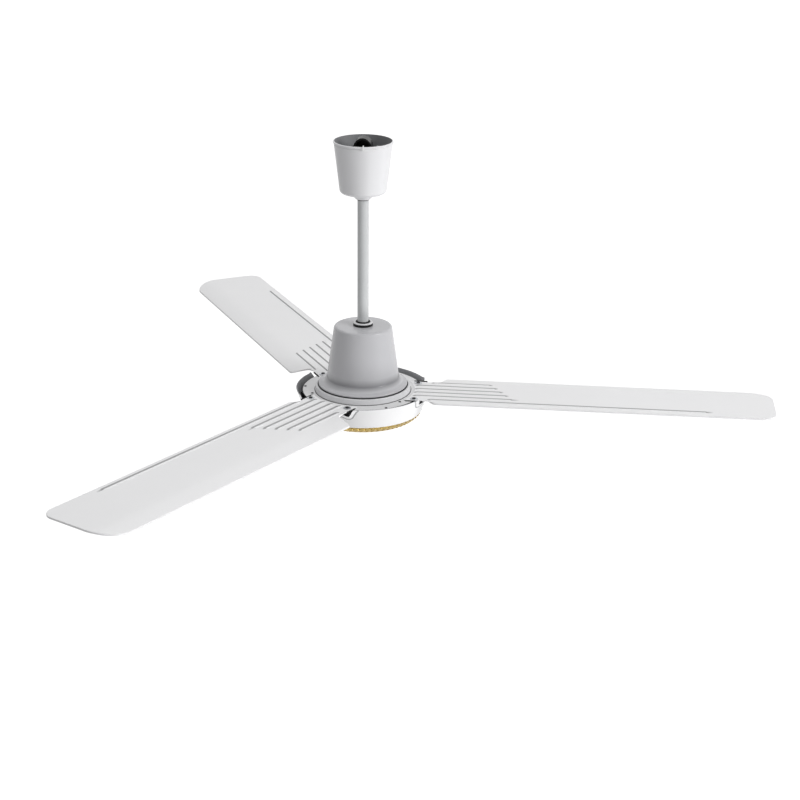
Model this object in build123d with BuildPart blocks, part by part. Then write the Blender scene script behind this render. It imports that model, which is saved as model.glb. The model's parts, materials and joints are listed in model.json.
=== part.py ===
from build123d import *
from math import cos, radians, sin
import os

# Three-blade ceiling fan that hangs from a hook on a short downrod.
# Millimetres, +Z up, the first blade along +X.
# The origin is where the ceiling hook bears on the reel.

os.makedirs("parts", exist_ok=True)

# Clearances
running_fit = 0.05
seat_gap = 0.1
free_gap = 0.5

# Hanger: shackle, reel and cross bolts
reel_groove_radius = 7.0
reel_flange_radius = 9.0
reel_flange_width = 2.5
reel_edge_round = 0.5
shackle_inner_half = 12.5
shackle_arch_rise = 15.5
shackle_arch_foot = 10.5
shackle_strap = 3.0
shackle_depth = 22.0
shackle_leg_end = 10.0
spacer_width = 1.0
spacer_radius = 5.0
hook_gap = 12.0
bolt_radius = 3.0
bolt_flats = 10.0
bolt_head = 4.0
nut_height = 5.0
bolt_end = 6.5
split_pin_radius = 0.8
split_eye_radius = 1.6
split_pin_end = 1.5
rod_bolt_drop = 11.0

# Downrod and motor shaft
rod_radius = 9.5
rod_wall = 2.0
rod_length = 366.0
shaft_neck = 32.0
shaft_socket = 40.0
coupling_bolt_rise = 20.0
wire_bore = 4.0

# Canopy at the ceiling
canopy_rim_height = 22.8
canopy_rim_radius = 49.0
canopy_rim_land = 1.5
canopy_foot_radius = 38.6
canopy_height = 87.5
canopy_wall = 1.6
canopy_corner = 4.0
canopy_bead_radius = 1.9
canopy_bead_inset = 0.5
canopy_bead_drop = 4.5
canopy_neck_wall_gap = 9.5
canopy_neck_depth = 11.5
canopy_neck_round = 8.0
canopy_hole_clearance = 1.0
grommet_flange = 1.4
grommet_height = 7.0
clip_width = 5.0
clip_sheet = 1.2
clip_round = 1.6
clip_rise = 4.0
clip_drop = 8.0
clip_tail = 4.0
clip_angle = -82.8

# Top plate of the motor
plate_radius = 104.0
plate_thickness = 3.0
plate_edge_round = 1.0
blade_overlap = 15.5
cover_screw_inset = 3.0
cover_screw_angle = -38.5
pan_screw_inset = 4.0
pan_screw_angle = 60.0

# Hub ring on the top plate, inside the blades' roots
hub_ring_gap = 6.5
hub_ring_height = 10.3
hub_ring_lean = 1.6
hub_ring_land = 3.0
hub_ring_step = 2.2
hub_ring_step_round = 0.4
hub_ring_seat = 17.4
hub_ring_sheet = 1.5

# Bell cover, standing inside the hub ring's shoulder
bell_inset = 1.4
bell_lip_height = 2.6
bell_flare_inset = 8.0
bell_flare_height = 5.0
bell_waist_inset = 14.4
bell_waist_height = 13.5
bell_shoulder_radius = 49.0
bell_height = 104.5
bell_wall = 1.2
bell_corner = 5.0
collar_wall = 3.5
collar_flange = 3.6
collar_height = 5.5
collar_ring_height = 1.2
collar_lip = 2.7
collar_lip_height = 8.5
collar_tail = 4.0

# Capacitor on the rod
capacitor_width = 28.0
capacitor_depth = 18.0
capacitor_height = 36.0
capacitor_headroom = 7.1
capacitor_round = 3.0
clamp_sheet = 1.0
clamp_height = 12.0

# Terminal block on the rod, behind the capacitor
block_length = 22.0
block_width = 10.0
block_height = 16.0
block_screw_radius = 1.8
block_screw_height = 4.0
block_screw_sink = 4.0
block_screw_pitch = 7.0
block_screw_count = 3

# Motor
bearing_inner_wall = 3.0
bearing_outer_wall = 7.0
bearing_width = 11.0
bearing_lip = 4.5
housing_wall = 4.5
shield_inset = 12.0
shield_wall = 6.5
shield_floor = 3.0
lower_housing_drop = 4.2
lower_housing_floor = 1.5
core_height = 14.0
core_top_gap = 0.5
core_foot_gap = 0.7
core_slots = 12
core_slot_width = 5.0
core_slot_depth = 16.0
rotor_wall = 15.5
rotor_top_gap = 5.0
air_gap = 0.4
coil_gap = 12.0
coil_inset = 7.6
coil_height = 4.0

# Pan under the blades
pan_rim_gap = 10.4
pan_rim_height = 3.8
pan_wall_step = 0.6
pan_foot_height = 11.4
pan_sheet = 1.2
pan_hole_radius = 22.0
pan_floor_gap = 0.9
pan_floor_round = 1.5
pan_knee_round = 4.0
pan_step_round = 0.2
window_lead_gap = 1.4
window_trail_gap = 7.3
window_lead_slope = 12.4
window_trail_slope = 24.3
window_knee_drop = 4.0
window_sill = 1.4
window_round = 4.0
window_flange = 3.0
bracket_width = 12.0
bracket_gap = 2.0
bracket_foot_drop = 21.0

# Trim ring round the foot of the pan
shield_gap = 9.6
trim_top_gap = 0.9
trim_side_height = 5.1
trim_knee_inset = 1.6
trim_knee_round = 6.0
trim_foot_inset = 8.2
trim_foot_round = 2.0
trim_lip = 3.9
trim_sheet = 1.3
cap_radius = 26.0
cap_dome = 4.0
cap_skirt = 1.8
cap_wall = 1.5

# Blades, with the neck's and the blade's sides measured across from the first blade's middle line
blade_count = 3
blade_tip = 698.0
blade_sheet = 1.2
blade_lead = -58.0
blade_trail = 80.0
neck_lead = -48.0
neck_trail = 47.5
neck_clearance = 3.6
lead_shoulder_run = 10.0
lead_shoulder_round = 10.0
trail_shoulder_run = 16.3
trail_shoulder_round = 7.5
trail_corner_round = 4.0
tip_lead_round = 23.0
tip_trail_round = 49.0
bend_gap = 3.5
bend_drop = 6.3
bend_round = 28.0
edge_depth = 3.2
edge_round = 1.1
bead_width = 6.5
bead_height = 1.6
bead_taper = 38.0
bead_lead_inset = 3.5
bead_trail_inset = 8.5
bead_count = 6
long_bead_tip_gap = 116.0
short_bead_end = 256.0
bead_end_step = 10.0
bead_root_gap = 3.5
blade_screw_inset = 3.5
blade_screw_lead_inset = 7.0
blade_screw_trail_inset = 10.5

# Small screws and washers
screw_radius = 2.0
screw_hole_radius = 2.1
screw_head_radius = 3.8
screw_head_height = 2.2
small_head_radius = 2.6
small_head_height = 1.2
recess_width = 0.9
recess_depth = 1.0
washer_radius = 6.5
washer_height = 0.8
screw_grip = 2.0

# Radii that follow from the sizes above
rod_bore = rod_radius - rod_wall
shaft_radius = rod_bore
bearing_inner_radius = shaft_radius + bearing_inner_wall
bearing_radius = bearing_inner_radius + bearing_outer_wall
housing_radius = bearing_radius + housing_wall
plate_hole_radius = bearing_radius - bearing_lip
canopy_neck_radius = rod_radius + canopy_neck_wall_gap
collar_hole_radius = rod_radius + collar_wall
collar_radius = collar_hole_radius + collar_flange
collar_lip_radius = rod_radius + collar_lip
blade_root_radius = plate_radius - blade_overlap
hub_ring_radius = blade_root_radius - hub_ring_gap
hub_ring_shoulder = hub_ring_radius - hub_ring_lean - hub_ring_land
bell_foot_radius = hub_ring_shoulder - bell_inset
shield_radius = plate_radius - shield_inset
shield_inner_radius = shield_radius - shield_wall
core_radius = shield_inner_radius - rotor_wall - air_gap
trim_top_radius = shield_radius + shield_gap
trim_knee_radius = trim_top_radius - trim_knee_inset
trim_foot_radius = trim_top_radius - trim_foot_inset
trim_inner_radius = trim_foot_radius - trim_lip
pan_wall_foot_radius = trim_top_radius + pan_wall_step
pan_rim_radius = plate_radius + pan_rim_gap
reel_half_length = shackle_inner_half - spacer_width - 3 * seat_gap
leg_inner_half = rod_radius + seat_gap
leg_outer_half = leg_inner_half + shackle_strap
shackle_outer_half = shackle_inner_half + shackle_strap
bolt_hole = bolt_radius + seat_gap

# Heights that follow from the sizes above
reel_height = reel_groove_radius
rod_top = -hook_gap
rod_foot = rod_top - rod_length
rod_bolt_height = rod_top - rod_bolt_drop
shackle_foot = rod_bolt_height - shackle_leg_end
shaft_top = rod_foot + shaft_socket
coupling_height = rod_foot + coupling_bolt_rise
canopy_rim = canopy_rim_height
canopy_foot = canopy_rim - canopy_height
canopy_neck_foot = canopy_foot - canopy_neck_depth
disc_top = rod_foot - shaft_neck
disc_underside = disc_top - plate_thickness
hub_ring_top = disc_top + hub_ring_height
bell_foot = hub_ring_top + free_gap
bell_top = bell_foot + bell_height
upper_bearing_foot = disc_underside - bearing_width
core_top = upper_bearing_foot - core_top_gap
core_foot = core_top - core_height
lower_bearing_top = core_foot - core_foot_gap
lower_bearing_foot = lower_bearing_top - bearing_width
shield_foot = lower_bearing_foot + lower_housing_drop
pan_floor = lower_bearing_foot - lower_housing_floor - pan_floor_gap - pan_sheet
pan_wall_foot = pan_floor + pan_foot_height
pan_rim = disc_top + pan_rim_height
trim_top = pan_wall_foot - trim_top_gap
trim_knee = trim_top - trim_side_height
trim_foot = pan_floor - trim_sheet - seat_gap

# Places on a blade, outwards from the axis and across from its middle line
neck_end = pan_rim_radius + neck_clearance
bend_line = neck_trail + bend_gap
bead_root = blade_root_radius + bead_root_gap
bead_first = neck_lead + bead_lead_inset
bead_pitch = (neck_trail - bead_trail_inset - bead_first) / (bead_count - 1)
blade_spots = [
    (blade_root_radius + blade_screw_inset, neck_lead + blade_screw_lead_inset),
    (blade_root_radius + blade_screw_inset, neck_trail - blade_screw_trail_inset),
]
blade_angles = [360 / blade_count * number for number in range(blade_count)]


def sheet_section(points, corner_radii, sheet):
    """Closed outline of a sheet whose outer side follows the points, to their left."""
    with BuildLine() as section:
        path = FilletPolyline(*points, radius=corner_radii)
        offset(path, amount=sheet, side=Side.LEFT)
    return section.line


def turned(angle, reach):
    """Plane that looks outwards along the angle, with its x towards the trailing side."""
    out = (cos(radians(angle)), sin(radians(angle)), 0)
    side = (-sin(radians(angle)), cos(radians(angle)), 0)
    return Plane(origin=(out[0] * reach, out[1] * reach, 0), x_dir=side, z_dir=out)


def radial(angle):
    """Upright plane through the axis, with its x outwards along the angle and its y up."""
    out = (cos(radians(angle)), sin(radians(angle)), 0)
    return Plane(origin=(0, 0, 0), x_dir=out, z_dir=(out[1], -out[0], 0))


def per_blade(*spots):
    """The spots given for the first blade, repeated for every blade."""
    return [Vector(*spot).rotate(Axis.Z, angle) for angle in blade_angles for spot in spots]


def polar_spot(radius, angle):
    """Spot at a radius and an angle about the axis."""
    return (radius * cos(radians(angle)), radius * sin(radians(angle)))


blade_screw_spots = per_blade(*blade_spots)
cover_screw_spots = per_blade(polar_spot(shield_radius - cover_screw_inset, cover_screw_angle))
pan_screw_spots = per_blade(polar_spot(plate_radius - pan_screw_inset, pan_screw_angle))

# Shackle: an inverted U of strap whose legs close in on the rod
with BuildPart() as shackle:
    with BuildSketch(Plane.XZ):
        with BuildLine():
            arch = EllipticalCenterArc(
                (0, shackle_arch_foot), shackle_outer_half, shackle_arch_rise + shackle_strap, arc_size=180
            )
            left = FilletPolyline(
                arch @ 1, (-shackle_outer_half, 0), (-leg_outer_half, rod_top), (-leg_outer_half, shackle_foot),
                radius=shackle_strap,
            )
            foot = Line(left @ 1, (leg_outer_half, shackle_foot))
            FilletPolyline(
                foot @ 1, (leg_outer_half, rod_top), (shackle_outer_half, 0), arch @ 0, radius=shackle_strap
            )
        make_face()
        with BuildLine():
            arch = EllipticalCenterArc(
                (0, shackle_arch_foot), shackle_inner_half, shackle_arch_rise, arc_size=180
            )
            left = FilletPolyline(
                arch @ 1, (-shackle_inner_half, 0), (-leg_inner_half, rod_top), (-leg_inner_half, shackle_foot),
                radius=shackle_strap,
            )
            foot = Line(left @ 1, (leg_inner_half, shackle_foot))
            FilletPolyline(
                foot @ 1, (leg_inner_half, rod_top), (shackle_inner_half, 0), arch @ 0, radius=shackle_strap
            )
        make_face(mode=Mode.SUBTRACT)
    extrude(amount=shackle_depth / 2, both=True)
    feet = shackle.edges().filter_by(Axis.X).group_by(Axis.Z)[0]
    fillet(feet, radius=shackle_depth / 2 - free_gap)
    with BuildSketch(Plane.YZ):
        with Locations((0, reel_height), (0, rod_bolt_height)):
            Circle(bolt_hole)
    extrude(amount=shackle_outer_half, both=True, mode=Mode.SUBTRACT)

shackle.part.label = "shackle"
export_step(shackle.part, "parts/shackle.step")

# Reel: rubber bobbin that the ceiling hook carries
with BuildPart() as reel:
    with BuildSketch(Plane.XZ):
        with BuildLine():
            rim = FilletPolyline(
                (-reel_half_length, reel_height + bolt_hole),
                (-reel_half_length, reel_height + reel_flange_radius),
                (-reel_half_length + reel_flange_width, reel_height + reel_flange_radius),
                (-reel_half_length + reel_flange_width, reel_height + reel_groove_radius),
                (reel_half_length - reel_flange_width, reel_height + reel_groove_radius),
                (reel_half_length - reel_flange_width, reel_height + reel_flange_radius),
                (reel_half_length, reel_height + reel_flange_radius),
                (reel_half_length, reel_height + bolt_hole),
                radius=reel_edge_round,
            )
            Line(rim @ 1, rim @ 0)
        make_face()
    revolve(axis=Axis((0, 0, reel_height), (1, 0, 0)))

reel.part.label = "reel"
export_step(reel.part, "parts/reel.step")

# Spacers: washers on the reel bolt, one at each leg
with BuildPart() as reel_spacers:
    for side in (-1, 1):
        spacer_face = side * (shackle_inner_half - seat_gap)
        with BuildSketch(Plane(origin=(spacer_face, 0, reel_height), z_dir=(-side, 0, 0))):
            Circle(spacer_radius)
            Circle(bolt_hole, mode=Mode.SUBTRACT)
        extrude(amount=spacer_width)

reel_spacers.part.label = "reel_spacers"
export_step(reel_spacers.part, "parts/reel_spacers.step")


def cross_bolt(seat, height):
    """Hexagon bolt along X through two legs, drilled at its end for a split pin."""
    tip = seat + nut_height + bolt_end
    with BuildPart() as bolt:
        with BuildSketch(Plane(origin=(-seat, 0, height), z_dir=(-1, 0, 0))):
            RegularPolygon(bolt_flats / 2, 6, major_radius=False)
        extrude(amount=bolt_head)
        with BuildSketch(Plane(origin=(-seat, 0, height), z_dir=(1, 0, 0))):
            Circle(bolt_radius)
        extrude(amount=seat + tip)
        with BuildSketch(Plane.XY.offset(height)):
            with Locations((seat + nut_height + bolt_end / 2, 0)):
                Circle(split_pin_radius + seat_gap)
        extrude(amount=bolt_radius, both=True, mode=Mode.SUBTRACT)
    return bolt


shackle_bolt = cross_bolt(shackle_outer_half + seat_gap, reel_height)
shackle_bolt.part.label = "shackle_bolt"
export_step(shackle_bolt.part, "parts/shackle_bolt.step")

rod_bolt = cross_bolt(leg_outer_half + seat_gap, rod_bolt_height)
rod_bolt.part.label = "rod_bolt"
export_step(rod_bolt.part, "parts/rod_bolt.step")

coupling_bolt = cross_bolt(rod_radius + seat_gap, coupling_height)
coupling_bolt.part.label = "coupling_bolt"
export_step(coupling_bolt.part, "parts/coupling_bolt.step")

bolt_seats = [
    (shackle_outer_half + seat_gap, reel_height),
    (leg_outer_half + seat_gap, rod_bolt_height),
    (rod_radius + seat_gap, coupling_height),
]

# Nuts: one on each cross bolt
with BuildPart() as lock_nuts:
    for seat, height in bolt_seats:
        with BuildSketch(Plane(origin=(seat, 0, height), z_dir=(1, 0, 0))):
            RegularPolygon(bolt_flats / 2, 6, major_radius=False)
            Circle(bolt_radius + running_fit, mode=Mode.SUBTRACT)
        extrude(amount=nut_height)

lock_nuts.part.label = "lock_nuts"
export_step(lock_nuts.part, "parts/lock_nuts.step")

# Split pins: an eye above each bolt and a shank down through it
split_eye_height = bolt_radius + split_pin_radius + split_eye_radius + seat_gap
with BuildPart() as split_pins:
    for seat, height in bolt_seats:
        pin_x = seat + nut_height + bolt_end / 2
        with BuildSketch(Plane.XY.offset(height - bolt_radius - split_pin_end)):
            with Locations((pin_x, 0)):
                Circle(split_pin_radius)
        extrude(amount=2 * bolt_radius + split_pin_end + split_eye_radius)
        with Locations((pin_x, 0, height + split_eye_height)):
            Torus(split_eye_radius, split_pin_radius, rotation=(90, 0, 0))

split_pins.part.label = "split_pins"
export_step(split_pins.part, "parts/split_pins.step")

# Downrod: tube drilled for the shackle bolt and the coupling bolt
with BuildPart() as downrod:
    with BuildSketch(Plane.XY.offset(rod_foot)):
        Circle(rod_radius)
        Circle(rod_bore, mode=Mode.SUBTRACT)
    extrude(amount=rod_length)
    with BuildSketch(Plane.YZ):
        with Locations((0, rod_bolt_height), (0, coupling_height)):
            Circle(bolt_hole)
    extrude(amount=2 * rod_radius, both=True, mode=Mode.SUBTRACT)

downrod.part.label = "downrod"
export_step(downrod.part, "parts/downrod.step")

# Canopy: tapered cup with a bead under its rim and a round neck on the rod
canopy_section = sheet_section(
    [
        (rod_radius + canopy_hole_clearance, canopy_neck_foot),
        (canopy_neck_radius, canopy_neck_foot),
        (canopy_neck_radius, canopy_foot),
        (canopy_foot_radius, canopy_foot),
        (canopy_rim_radius, canopy_rim - canopy_rim_land),
        (canopy_rim_radius, canopy_rim),
    ],
    [canopy_neck_round, canopy_wall, canopy_corner, canopy_corner],
    canopy_wall,
)
with BuildPart() as canopy:
    with BuildSketch(Plane.XZ):
        make_face(canopy_section)
    revolve(axis=Axis.Z)
    with BuildSketch(Plane.XZ):
        with Locations((canopy_rim_radius - canopy_bead_inset, canopy_rim - canopy_bead_drop)):
            Circle(canopy_bead_radius)
    revolve(axis=Axis.Z)

canopy.part.label = "canopy"
export_step(canopy.part, "parts/canopy.step")

# Grommet: rubber bush that holds the canopy on the rod
with BuildPart() as canopy_grommet:
    with BuildSketch(Plane.XZ):
        with BuildLine():
            Polyline(
                (rod_radius + running_fit, canopy_neck_foot),
                (rod_radius + canopy_hole_clearance - seat_gap, canopy_neck_foot),
                (rod_radius + canopy_hole_clearance - seat_gap, canopy_neck_foot + canopy_wall + seat_gap),
                (rod_radius + grommet_flange, canopy_neck_foot + canopy_wall + seat_gap),
                (rod_radius + grommet_flange, canopy_neck_foot + grommet_height),
                (rod_radius + running_fit, canopy_neck_foot + grommet_height),
                close=True,
            )
        make_face()
    revolve(axis=Axis.Z)

canopy_grommet.part.label = "canopy_grommet"
export_step(canopy_grommet.part, "parts/canopy_grommet.step")

# Clip: small strip folded over the canopy's rim
canopy_lean = (canopy_rim_radius - canopy_foot_radius) / (canopy_height - canopy_rim_land)
clip_inner = canopy_rim_radius - canopy_wall - clip_tail * canopy_lean - 3 * seat_gap
clip_outer = canopy_rim_radius + canopy_bead_radius
clip_plane = radial(clip_angle)
with BuildPart() as canopy_clip:
    with BuildSketch(clip_plane):
        with BuildLine():
            path = FilletPolyline(
                (clip_inner - clip_sheet, canopy_rim - clip_tail),
                (clip_inner - clip_sheet, canopy_rim + clip_rise),
                (clip_outer + clip_sheet, canopy_rim + clip_rise),
                (clip_outer + clip_sheet, canopy_rim - clip_drop),
                radius=clip_round,
            )
            offset(path, amount=clip_sheet, side=Side.RIGHT)
        make_face()
    extrude(amount=clip_width / 2, both=True)

canopy_clip.part.label = "canopy_clip"
export_step(canopy_clip.part, "parts/canopy_clip.step")

# Bell: conical cover with a flared foot over the motor's neck
bell_section = sheet_section(
    [
        (bell_foot_radius, bell_foot),
        (bell_foot_radius, bell_foot + bell_lip_height),
        (bell_foot_radius - bell_flare_inset, bell_foot + bell_flare_height),
        (bell_foot_radius - bell_waist_inset, bell_foot + bell_waist_height),
        (bell_shoulder_radius, bell_top),
        (collar_hole_radius, bell_top),
    ],
    [bell_wall + seat_gap, bell_corner, bell_corner, bell_corner],
    bell_wall,
)
with BuildPart() as bell_cover:
    with BuildSketch(Plane.XZ):
        make_face(bell_section)
    revolve(axis=Axis.Z)

bell_cover.part.label = "bell_cover"
export_step(bell_cover.part, "parts/bell_cover.step")

# Collar: rubber bush in the top of the bell, gripping the rod
with BuildPart() as bell_collar:
    with BuildSketch(Plane.XZ):
        with BuildLine():
            Polyline(
                (rod_radius + running_fit, bell_top - collar_tail),
                (collar_hole_radius - seat_gap, bell_top - collar_tail),
                (collar_hole_radius - seat_gap, bell_top),
                (collar_radius, bell_top),
                (collar_radius, bell_top + collar_height),
                (collar_lip_radius, bell_top + collar_height),
                (collar_lip_radius, bell_top + collar_lip_height),
                (rod_radius + running_fit, bell_top + collar_lip_height),
                close=True,
            )
        make_face()
    revolve(axis=Axis.Z)

bell_collar.part.label = "bell_collar"
export_step(bell_collar.part, "parts/bell_collar.step")

# Collar ring: metal washer round the collar's lip
with BuildPart() as collar_ring:
    with BuildSketch(Plane.XY.offset(bell_top + collar_height)):
        Circle(collar_radius - free_gap)
        Circle(collar_lip_radius + seat_gap, mode=Mode.SUBTRACT)
    extrude(amount=collar_ring_height)

collar_ring.part.label = "collar_ring"
export_step(collar_ring.part, "parts/collar_ring.step")

# Capacitor: plastic box on the rod, under the bell's top
capacitor_foot = bell_top - bell_wall - capacitor_headroom - capacitor_height
capacitor_back = rod_radius + seat_gap
clamp_foot = capacitor_foot + (capacitor_height - clamp_height) / 2
with BuildPart() as capacitor:
    with BuildSketch(Plane.XY.offset(capacitor_foot)):
        with Locations((0, capacitor_back + capacitor_depth / 2)):
            RectangleRounded(capacitor_width, capacitor_depth, capacitor_round)
    extrude(amount=capacitor_height)

capacitor.part.label = "capacitor"
export_step(capacitor.part, "parts/capacitor.step")

# Terminal block: on the other side of the rod, at the clamp's height
block_foot = clamp_foot + (clamp_height - block_height) / 2
block_middle = -capacitor_back - block_width / 2
block_screw_top = block_foot + block_height - block_screw_sink
with BuildPart() as terminal_block:
    with BuildSketch(Plane.XY.offset(block_foot)):
        with Locations((0, block_middle)):
            Rectangle(block_length, block_width)
    extrude(amount=block_height)
    with BuildSketch(Plane.XY.offset(block_foot + block_height)):
        with Locations((0, block_middle)):
            with GridLocations(block_screw_pitch, 1, block_screw_count, 1):
                Circle(block_screw_radius + seat_gap)
    extrude(amount=-block_screw_sink - block_screw_height, mode=Mode.SUBTRACT)

terminal_block.part.label = "terminal_block"
export_step(terminal_block.part, "parts/terminal_block.step")

with BuildPart() as terminal_screws:
    with BuildSketch(Plane.XY.offset(block_screw_top)):
        with Locations((0, block_middle)):
            with GridLocations(block_screw_pitch, 1, block_screw_count, 1):
                Circle(block_screw_radius)
    extrude(amount=-block_screw_height)
    with BuildSketch(Plane.XY.offset(block_screw_top)):
        with Locations((0, block_middle)):
            with GridLocations(block_screw_pitch, 1, block_screw_count, 1):
                Rectangle(2 * block_screw_radius + seat_gap, recess_width)
    extrude(amount=-recess_depth, mode=Mode.SUBTRACT)

terminal_screws.part.label = "terminal_screws"
export_step(terminal_screws.part, "parts/terminal_screws.step")

# Clamp: band drawn round the capacitor, the rod and the terminal block
with BuildPart() as capacitor_clamp:
    with BuildSketch(Plane.XY.offset(clamp_foot)) as band:
        with Locations((0, capacitor_back + capacitor_depth / 2)):
            RectangleRounded(capacitor_width, capacitor_depth, capacitor_round)
        with Locations((0, block_middle)):
            Rectangle(block_length, block_width)
        make_hull()
        offset(amount=seat_gap)
        inside = band.sketch_local
        offset(amount=clamp_sheet)
        add(inside, mode=Mode.SUBTRACT)
    extrude(amount=clamp_height)

capacitor_clamp.part.label = "capacitor_clamp"
export_step(capacitor_clamp.part, "parts/capacitor_clamp.step")

# Top plate: rotor cover that carries the blades, with the upper bearing's housing below it
with BuildPart() as top_plate:
    with BuildSketch(Plane.XZ):
        with BuildLine():
            Polyline(
                (plate_hole_radius, disc_top),
                (plate_radius, disc_top),
                (plate_radius, disc_underside),
                (housing_radius, disc_underside),
                (housing_radius, upper_bearing_foot),
                (bearing_radius, upper_bearing_foot),
                (bearing_radius, disc_underside),
                (plate_hole_radius, disc_underside),
                close=True,
            )
        make_face()
    revolve(axis=Axis.Z)
    rim = top_plate.edges().filter_by(GeomType.CIRCLE).sort_by(SortBy.RADIUS)[-2:]
    fillet(rim, radius=plate_edge_round)
    with BuildSketch(Plane.XY.offset(disc_top)):
        with Locations(*blade_screw_spots, *cover_screw_spots, *pan_screw_spots):
            Circle(screw_hole_radius)
    extrude(amount=-plate_thickness, mode=Mode.SUBTRACT)

top_plate.part.label = "top_plate"
export_step(top_plate.part, "parts/top_plate.step")

# Hub ring: stepped ring on the top plate, round the foot of the bell
hub_ring_section = sheet_section(
    [
        (hub_ring_radius, disc_top),
        (hub_ring_radius, disc_top + hub_ring_sheet),
        (hub_ring_radius - hub_ring_lean, hub_ring_top),
        (hub_ring_shoulder, hub_ring_top),
        (hub_ring_shoulder, hub_ring_top - hub_ring_step),
        (hub_ring_shoulder - hub_ring_seat, hub_ring_top - hub_ring_step),
    ],
    [hub_ring_sheet + seat_gap, hub_ring_sheet + seat_gap, hub_ring_step_round, hub_ring_step_round],
    hub_ring_sheet,
)
with BuildPart() as hub_ring:
    with BuildSketch(Plane.XZ):
        make_face(hub_ring_section)
    revolve(axis=Axis.Z)

hub_ring.part.label = "hub_ring"
export_step(hub_ring.part, "parts/hub_ring.step")

# Lower shield: motor cup with the lower bearing's housing in its floor
with BuildPart() as lower_shield:
    with BuildSketch(Plane.XZ):
        with BuildLine():
            Polyline(
                (0, lower_bearing_foot),
                (0, lower_bearing_foot - lower_housing_floor),
                (housing_radius, lower_bearing_foot - lower_housing_floor),
                (housing_radius, shield_foot),
                (shield_radius, shield_foot),
                (shield_radius, disc_underside),
                (shield_inner_radius, disc_underside),
                (shield_inner_radius, shield_foot + shield_floor),
                (housing_radius, shield_foot + shield_floor),
                (housing_radius, lower_bearing_top),
                (bearing_radius, lower_bearing_top),
                (bearing_radius, lower_bearing_foot),
                close=True,
            )
        make_face()
    revolve(axis=Axis.Z)
    with BuildSketch(Plane.XY.offset(disc_underside)):
        with Locations(*cover_screw_spots):
            Circle(screw_hole_radius)
    extrude(amount=-4 * screw_grip, mode=Mode.SUBTRACT)

lower_shield.part.label = "lower_shield"
export_step(lower_shield.part, "parts/lower_shield.step")

# Bearings: inner rings on the shaft, outer rings in their housings
bearing_feet = [upper_bearing_foot, lower_bearing_foot]
with BuildPart() as inner_races:
    for foot in bearing_feet:
        with BuildSketch(Plane.XY.offset(foot)):
            Circle(bearing_inner_radius)
            Circle(shaft_radius + running_fit, mode=Mode.SUBTRACT)
        extrude(amount=bearing_width)

inner_races.part.label = "inner_races"
export_step(inner_races.part, "parts/inner_races.step")

with BuildPart() as outer_races:
    for foot in bearing_feet:
        with BuildSketch(Plane.XY.offset(foot)):
            Circle(bearing_radius - running_fit)
            Circle(bearing_inner_radius + running_fit, mode=Mode.SUBTRACT)
        extrude(amount=bearing_width)

outer_races.part.label = "outer_races"
export_step(outer_races.part, "parts/outer_races.step")

# Motor shaft: from the socket in the rod, through both bearings, with a collar for the core
with BuildPart() as motor_shaft:
    with BuildSketch(Plane.XY.offset(lower_bearing_foot)):
        Circle(shaft_radius - running_fit / 2)
    extrude(amount=shaft_top - lower_bearing_foot)
    with BuildSketch(Plane.XY.offset(lower_bearing_top)):
        Circle(bearing_inner_radius)
    extrude(amount=upper_bearing_foot - lower_bearing_top)
    with BuildSketch(Plane.XY.offset(shaft_top)):
        Circle(wire_bore)
    extrude(amount=upper_bearing_foot - shaft_top, mode=Mode.SUBTRACT)
    with BuildSketch(Plane.YZ):
        with Locations((0, coupling_height)):
            Circle(bolt_hole)
    extrude(amount=2 * shaft_radius, both=True, mode=Mode.SUBTRACT)

motor_shaft.part.label = "motor_shaft"
export_step(motor_shaft.part, "parts/motor_shaft.step")

# Stator: slotted core on the shaft's collar, with its end windings above and below
with BuildPart() as stator_core:
    with BuildSketch(Plane.XY.offset(core_foot)):
        Circle(core_radius)
        Circle(bearing_inner_radius + running_fit, mode=Mode.SUBTRACT)
        with PolarLocations(core_radius - (core_slot_depth - free_gap) / 2, core_slots):
            Rectangle(core_slot_depth + free_gap, core_slot_width, mode=Mode.SUBTRACT)
    extrude(amount=core_height)

stator_core.part.label = "stator_core"
export_step(stator_core.part, "parts/stator_core.step")

with BuildPart() as stator_coils:
    for foot in (core_top, core_foot - coil_height):
        with BuildSketch(Plane.XY.offset(foot)):
            Circle(core_radius - coil_inset)
            Circle(housing_radius + coil_gap, mode=Mode.SUBTRACT)
        extrude(amount=coil_height)

stator_coils.part.label = "stator_coils"
export_step(stator_coils.part, "parts/stator_coils.step")

# Rotor ring: cast cage in the lower shield, running round the core
with BuildPart() as rotor_ring:
    with BuildSketch(Plane.XY.offset(shield_foot + shield_floor)):
        Circle(shield_inner_radius - running_fit)
        Circle(core_radius + air_gap, mode=Mode.SUBTRACT)
    extrude(amount=disc_underside - rotor_top_gap - shield_foot - shield_floor)

rotor_ring.part.label = "rotor_ring"
export_step(rotor_ring.part, "parts/rotor_ring.step")


def window_outline(widening):
    """Window in the pan for a blade, in a plane square to that blade, with level axes."""
    lead = neck_lead - window_lead_gap - widening
    trail = neck_trail + window_trail_gap + widening
    foot = pan_wall_foot + window_sill - widening
    knee = disc_top - window_knee_drop
    head = pan_rim + free_gap
    with BuildLine() as outline:
        sides = FilletPolyline(
            (trail, head),
            (trail, knee),
            (trail - window_trail_slope, foot),
            (lead + window_lead_slope, foot),
            (lead, knee),
            (lead, head),
            radius=window_round + widening,
        )
        Line(sides @ 1, sides @ 0)
    return outline.line


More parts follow.
